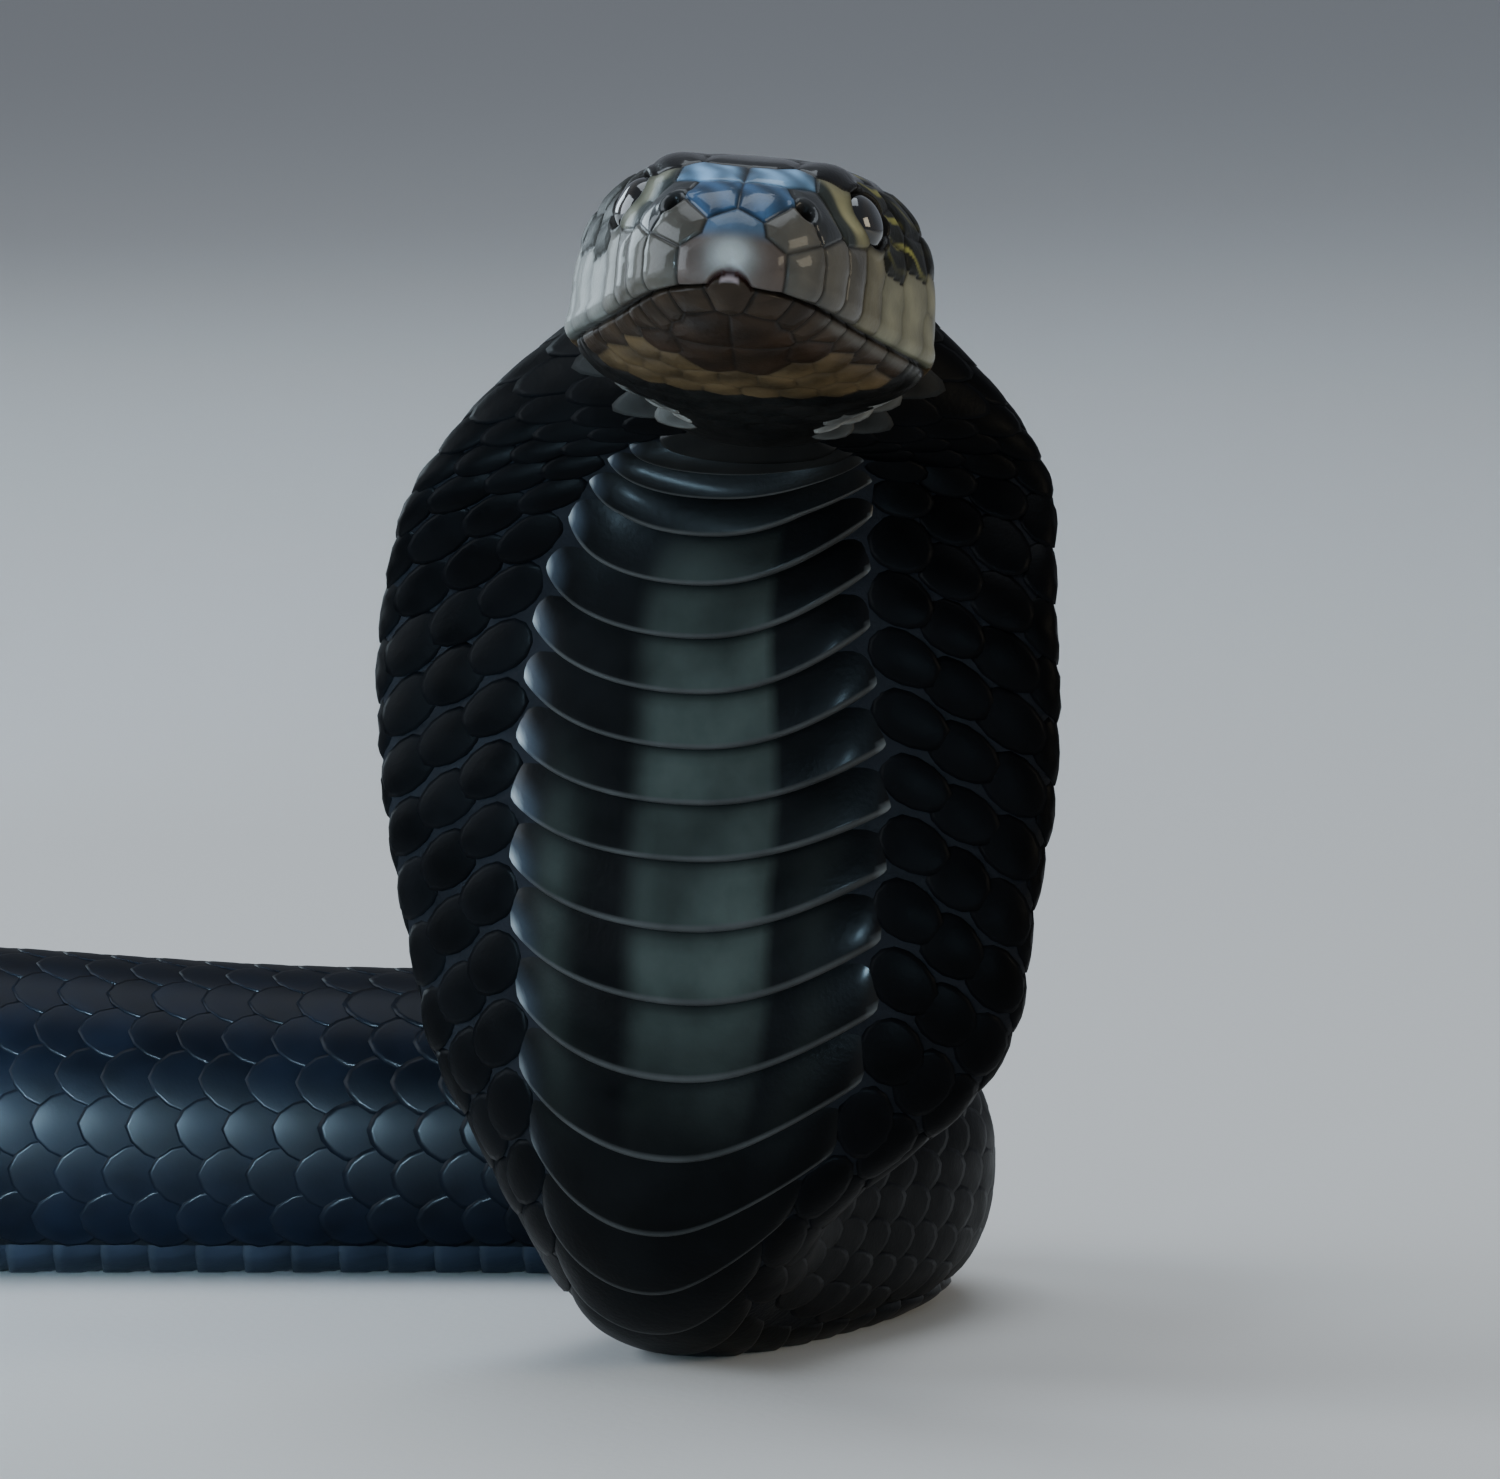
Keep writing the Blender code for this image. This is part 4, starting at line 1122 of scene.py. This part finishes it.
def scale_piece(context, name, start, end, segments, radii, salt):
    """Dorsal scales of one stretch, as one joined mesh.

    Each is a disc with a slightly pointed outline, domed in the middle, sunk in front and lifted
    behind, laid on the body's surface along the row and tilted away from the plates on the hood.
    Arrays have one row for each scale and one column for each point of the disc.
    """
    sizes = context.scene.cobra_scales
    s, row, across = (values[:, None] for values in scale_centres(start, end))
    direction, reach, faces = disc_template(segments, radii)
    chance = np.random.default_rng(SEED + salt)
    vary = 1 + 0.05 * chance.uniform(-1, 1, (len(s), 4))
    spread = hood_spread(s) * ramp(s, 2, 16)

    def between(body, hood):
        """Measure that runs from the trunk's to the hood's as the hood spreads."""
        return body + (hood - body) * spread

    on_edge = ramp(np.abs(across), 0.35, 0.95)
    long = ring_pitch(s) * between(sizes.body_length, sizes.hood_length) * vary[:, 0:1]
    wide = 2 * half_girth(s) / scale_rows(s) * vary[:, 1:2]
    wide = wide * between(sizes.body_width, sizes.hood_width) * (1 + 0.12 * on_edge * (1 - spread))
    tilt = between(math.radians(8), sizes.tilt) * on_edge
    tilt = tilt + math.radians(3) * chance.uniform(-1, 1, s.shape)
    corner = between(1.75, 2.1)
    squared = np.abs(np.cos(direction)) ** corner + np.abs(np.sin(direction)) ** corner
    outline = reach * squared ** (-1 / corner)
    a = np.cos(direction) * outline
    b = np.sin(direction) * outline * (1 - 0.10 * a)
    small = slimming(s)
    dome = between(sizes.body_dome, sizes.hood_dome) * vary[:, 2:3] * small
    overlap = sizes.overlap * between(1.0, 0.55) * small * vary[:, 3:4]
    sink = sizes.sink * small
    height = dome * between((1 - a * a) * (1 - 0.4 * b * b), 1 - reach ** 2.3)
    height = height - sink + (overlap + sink) * (a + 1) / 2
    skirt = np.arange(len(direction)) >= len(direction) - segments
    height = np.where(skirt, -SKIRT_DEPTH * small, height)
    ahead = long * a * np.cos(tilt) - wide * b * np.sin(tilt)
    upward = long * a * np.sin(tilt) + wide * b * np.cos(tilt)
    side = np.where(row >= 0, 1.0, -1.0)
    s_all = np.minimum(s + ahead, TAIL_END)
    points = lifted(s_all, angle_at(s_all, across - side * upward / half_girth(s)), height)
    starts = np.arange(len(s))[:, None] * len(direction)
    all_faces = []
    for face in faces:
        block = starts + np.array(face)
        all_faces.extend(np.where(side < 0, block, block[:, ::-1]).tolist())
    tones = context.scene.cobra_colours
    shade = 0.75 + 0.5 * chance.random(s.shape)
    behind_jaw = ramp(s, 5.0, -3.0) * ramp(np.abs(across), 0.45, 0.85)
    pale = np.clip(behind_jaw * chance.uniform(0.5, 1.2, s.shape), 0, 1)
    tint = mix(tones.scale, tones.trunk, ramp(s, 140, 200)) * shade[..., None]
    tint = layered(tint, (tones.neck_pale, pale * (0.35 + 0.65 * reach ** 2)),
                   (tones.between, np.clip(reach - 0.75, 0, 1)))
    gloss = 0.15 * ramp(s, 130, 195)[..., None] + 0 * tint[..., :1]
    tint = np.concatenate([tint, gloss], axis=2)
    root = np.concatenate([0.02 + 0.96 * (s + 20) / 1100, 0.5 + 0.46 * across / 1.05], axis=1)
    uv = root[:, None, :] + 0.0015 * np.stack([a, b], axis=-1)
    look = skin_look("scale_gloss", (300.0, 3400.0, 1500.0), (0.38, 0.52), None, 0.02, 0.3, 0.045, 0.3)
    new_piece(name, points.reshape(-1, 3), all_faces, tint.reshape(-1, 4), uv.reshape(-1, 2),
              look)


class COBRA_OT_scales(bpy.types.Operator):
    """Dorsal scales of the hood, the trunk and the tail"""

    bl_idname = "cobra.scales"
    bl_label = "Scales"

    def execute(self, context):
        """Four stretches of scales, the hood's with the most points each."""
        hood = (0.5, 0.82, 1.0, 0.97)
        body = (0.6, 0.9, 1.0, 0.985)
        scale_piece(context, "hood_scales", -20, HOOD_SCALES_END, 14, hood, 1)
        scale_piece(context, "front_trunk_scales", HOOD_SCALES_END, FRONT_TRUNK_END, 12, body, 2)
        scale_piece(context, "rear_trunk_scales", FRONT_TRUNK_END, VENT_S, 12, body, 3)
        scale_piece(context, "tail_scales", VENT_S, TAIL_END, 12, body, 4)
        return {"FINISHED"}


def plate_block(first, pitch, x, y, sizes, split):
    """Points, places s and shares along and across of a group of plates, on a grid of x by y.

    A plate starts sunk under the one before, rises to its free edge and ends in a crisp rim. Its
    middle lies towards the tail by the bow, and its ends sink into the skin beside them.
    """
    first, pitch, x = first[:, None, None], pitch[:, None, None], x[:, None]
    reach = np.abs(2 * np.abs(y) - 1) if split else np.abs(y)
    s = first + pitch * (x * (1 + sizes.overhang) - 0.02)
    sag = np.abs(y) ** (SAG_POWER[0] + SAG_POWER[1] * y)
    s = np.minimum(s + sizes.bow * (1 - sag) * bow_strength(s), TAIL_END)
    angle = 1.5 * math.pi + y * np.radians(plate_half_angle(s)) * 1.03
    rise = ROOT_HEIGHT + (sizes.lift - ROOT_HEIGHT) * (1 - (1 - np.clip(x / RIM_START, 0, 1)) ** 2)
    rim = np.sqrt(np.clip(1 - (np.clip(x - RIM_START, 0, 1) / (1 - RIM_START)) ** 2, 0, 1))
    rise = np.where(x > RIM_START, UNDER_HEIGHT + (rise - UNDER_HEIGHT) * rim, rise)
    ends = np.clip(1 - reach ** 30, 0, 1) ** 0.5
    shoulder = sizes.shoulder * np.clip((reach - 0.6) / 0.4, 0, 1) ** 2 * bow_strength(s)
    height = (END_HEIGHT + (rise - END_HEIGHT) * ends) * slimming(s) - shoulder
    points = lifted(s, angle, height)
    return points, s, x + 0 * s, y + 0 * s


def plate_piece(context, name, firsts, pitches, x, y, split, salt):
    """Belly plates of one stretch as one joined mesh, each with its own cell of the patch map."""
    sizes = context.scene.cobra_plates
    points, s, along, across = plate_block(firsts, pitches, x, y, sizes, split)
    count, rows, columns = s.shape
    faces = []
    for i in range(count):
        faces.extend(grid_faces(rows, columns, False, i * rows * columns).tolist())
    tint = paint_plates(context.scene.cobra_colours, sizes, s, along, across,
                        np.random.default_rng(SEED + salt))
    side = math.ceil(math.sqrt(count))
    cell = np.arange(count)
    corner = np.stack([cell % side, cell // side], axis=1)[:, None, None, :]
    inside = np.stack([0.05 + 0.9 * (across + 1) / 2, 0.05 + 0.9 * along], axis=-1)
    uv = (corner + inside) / side
    look = skin_look("plate_gloss", (180.0, 2600.0, 1100.0), (0.30, 0.46), None, 0.025, 0.3, 0.05, 0.16)
    piece = new_piece(name, points.reshape(-1, 3), faces, tint.reshape(-1, 4), uv.reshape(-1, 2),
                      look)
    turn_outwards(piece.data, along_line(LINE_PLACE, s[0, 0, 0]))


def paint_plates(tones, sizes, s, along, across, chance):
    """Dark plates with a pale rim line, a broken pale band down the hood and a brown-grey throat.
    The band fades out near each plate's root as painted shadow under the free edge before. The ends
    of the hood's plates carry a painted bluish sheen and a painted highlight at their pale tips,
    strongest on the snake's right.

    The last column is the share of clear coat, most at the ends of the hood's plates.
    """
    each = chance.uniform(0.8, 1.2, (len(s), 1, 1))
    wave = 0.5 + 0.5 * np.sin(across * 9.0 + s * 0.21) * np.cos(across * 4.0 - s * 0.13)
    band = ramp(across, -0.34, -0.18) * ramp(across, 0.44, 0.36) * ramp(s, 20, 34) * ramp(s, 72, 55)
    band = band * (0.6 + 0.4 * bump_at(across, 0.16, 0.3)) * (0.6 + 0.6 * wave)
    wings = bump_at(across, -0.66, 0.15) + 0.5 * bump_at(across, 0.58, 0.12)
    wings = wings * ramp(s, 38, 48) * ramp(s, 72, 60) * 0.6 * wave
    # The pale patches fade out near each plate's root: painted shadow under the free edge before.
    pale = np.clip((band + wings) * each * sizes.band, 0, 1) * ramp(along, 0.0, 0.3)
    front = ramp(s, 8, 14) * ramp(s, 80, 45)
    # Pale tips of the free edges, with a painted highlight at full strength on the snake's right.
    tips = ramp(across, -0.86, -0.95) * ramp(along, 0.74, 0.86)
    tips = tips + 0.35 * ramp(across, 0.9, 0.96) * ramp(along, 0.8, 0.9)
    rim = ramp(along, 0.88, 0.93) * (0.10 + 0.90 * ramp(s, 110, 60)) * (0.15 + 0.85 * ramp(s, 12, 15))
    tint = layered(
        tones.plate,
        (tones.belly, ramp(s, 95, 160)),
        (tones.plate_pale, pale),
        (tones.throat, ramp(s, 22, 15) * (0.6 + 0.4 * wave)),
        (tones.plate_rim, rim),
        # painted sheen and painted highlight at the plates' ends, most on the snake's right
        (tones.plate_painted_sheen, 0.8 * ramp(across, -0.72, -0.92) * ramp(along, 0.35, 0.8) * front),
        (tones.plate_tip_and_highlight, 0.85 * tips * front),
    )
    gloss = 0.02 + 0.45 * ramp(np.abs(across), 0.84, 0.98) * ramp(s, 85, 50)
    return np.concatenate([tint, gloss[..., None]], axis=-1)


class COBRA_OT_belly_plates(bpy.types.Operator):
    """Belly plates from the throat to the vent, and the paired plates under the tail"""

    bl_idname = "cobra.belly_plates"
    bl_label = "Belly plates"

    def execute(self, context):
        """Three stretches of plates on their own grids."""
        marks = ring_marks(PLATED_FROM - 0.2, TAIL_END - 4)
        firsts, pitches = marks[:-1], np.diff(marks)
        fine = np.array([0, 0.1, 0.22, 0.36, 0.52, 0.68, 0.8, 0.88, RIM_START, 0.965, 0.985, 1.0])
        coarse = np.array([0, 0.2, 0.5, 0.8, RIM_START, 0.98, 1.0])
        for name, start, end, x, columns, split, salt in (
            ("hood_plates", 0, HOOD_PLATES_END, fine, 61, False, 11),
            ("trunk_plates", HOOD_PLATES_END, VENT_S, coarse, 25, False, 12),
            ("tail_plates", VENT_S, TAIL_END, coarse, 19, True, 13),
        ):
            here = (firsts >= start) & (firsts < end)
            plate_piece(context, name, firsts[here], pitches[here], x, np.linspace(-1, 1, columns),
                        split, salt)
        return {"FINISHED"}


def aim(thing, target):
    """Turns an object so that its -Z axis looks at the target, with +Y up."""
    way = Vector(target) - thing.location
    thing.rotation_euler = way.to_track_quat("-Z", "Y").to_euler()


def soft_light(name, place, size, power, tone, target=CAMERA_TARGET, spread=180.0):
    """Square area light aimed at a target, its beam as wide as the spread, in degrees."""
    data = bpy.data.lights.new(name, "AREA")
    data.size = size
    data.spread = math.radians(spread)
    data.energy = power
    data.color = tone
    lamp = bpy.data.objects.new(name, data)
    bpy.context.scene.collection.objects.link(lamp)
    lamp.location = place
    aim(lamp, target)


class COBRA_OT_studio(bpy.types.Operator):
    """Plain pale floor, soft lights and the camera"""

    bl_idname = "cobra.studio"
    bl_label = "Studio"

    def execute(self, context):
        """One large flat floor, five soft lights, light all round, and a long lens in front."""
        sizes = context.scene.cobra_studio
        half = sizes.floor_size / 2
        mesh = bpy.data.meshes.new("studio_floor")
        mesh.from_pydata([(-half, -half, 0), (half, -half, 0), (half, half, 0), (-half, half, 0)], [],
                         [(0, 1, 2, 3)])
        look = bpy.data.materials.new("floor_paper")
        look.use_nodes = True
        tree = look.node_tree
        shader = tree.nodes["Principled BSDF"]
        place = node(tree, "ShaderNodeTexCoord")
        grain = node(tree, "ShaderNodeTexNoise", {"Scale": 900.0})
        bump = node(tree, "ShaderNodeBump", {"Distance": 0.00004})
        tree.links.new(place.outputs["Object"], grain.inputs["Vector"])
        tree.links.new(grain.outputs["Fac"], bump.inputs["Height"])
        tree.links.new(bump.outputs["Normal"], shader.inputs["Normal"])
        shader.inputs["Base Color"].default_value = (*sizes.floor_colour, 1.0)
        shader.inputs["Roughness"].default_value = 0.85
        mesh.materials.append(look)
        floor = bpy.data.objects.new("studio_floor", mesh)
        context.scene.collection.objects.link(floor)
        soft_light("key_light", (-1.09, -0.10, 0.40), 0.96, sizes.key, (0.80, 0.90, 1.0))
        soft_light("top_light", (-0.10, 0.30, 2.20), 1.60, sizes.top, (0.84, 0.92, 1.0))
        soft_light("rim_light", (-1.20, 1.50, 0.50), 0.80, sizes.rim, (0.74, 0.90, 1.0))
        soft_light("low_light", (-0.40, -1.25, 0.04), 0.16, sizes.low, (0.50, 0.78, 1.0),
                   (-0.20, 0.06, 0.012), 16.0)
        soft_light("fill_light", (0.90, -0.45, 0.40), 0.44, sizes.fill, (1.0, 0.88, 0.66))
        world = bpy.data.worlds.new("studio_world")
        world.use_nodes = True
        back = world.node_tree.nodes["Background"]
        back.inputs["Color"].default_value = (0.80, 0.87, 1.0, 1.0)
        back.inputs["Strength"].default_value = sizes.sky
        context.scene.world = world
        data = bpy.data.cameras.new("camera")
        data.lens = CAMERA_LENS
        data.sensor_width = 36.0
        camera = bpy.data.objects.new("camera", data)
        context.scene.collection.objects.link(camera)
        camera.location = CAMERA_PLACE
        aim(camera, CAMERA_TARGET)
        context.scene.camera = camera
        return {"FINISHED"}



class COBRA_PT_panel(bpy.types.Panel):
    """Lists the cobra's pieces with their sizes and colours"""

    bl_idname = "COBRA_PT_panel"
    bl_label = "Spitting cobra"
    bl_space_type = "VIEW_3D"
    bl_region_type = "UI"
    bl_category = "Cobra"

    def draw(self, context):
        """A button for each operator, then every size and colour."""
        for maker in MAKERS:
            self.layout.operator(maker.bl_idname)
        for name, group in GROUPS:
            box = self.layout.box()
            box.label(text=group.__doc__)
            for key in group.__annotations__:
                box.prop(getattr(context.scene, name), key)


MAKERS = (
    COBRA_OT_head_skin, COBRA_OT_eyes, COBRA_OT_body_skin, COBRA_OT_belly_plates, COBRA_OT_scales,
    COBRA_OT_studio,
)


def register():
    """Registers the classes and hangs the sizes and colours on the scene."""
    for name, group in GROUPS:
        bpy.utils.register_class(group)
        setattr(bpy.types.Scene, name, bpy.props.PointerProperty(type=group))
    for maker in MAKERS + (COBRA_PT_panel,):
        bpy.utils.register_class(maker)


def unregister():
    """Undoes register, in the opposite order."""
    for maker in reversed(MAKERS + (COBRA_PT_panel,)):
        bpy.utils.unregister_class(maker)
    for name, group in reversed(GROUPS):
        delattr(bpy.types.Scene, name)
        bpy.utils.unregister_class(group)


def main():
    register()
    bpy.ops.cobra.head_skin()
    bpy.ops.cobra.eyes()
    bpy.ops.cobra.body_skin()
    bpy.ops.cobra.belly_plates()
    bpy.ops.cobra.scales()
    bpy.ops.cobra.studio()


if __name__ == "__main__":
    main()
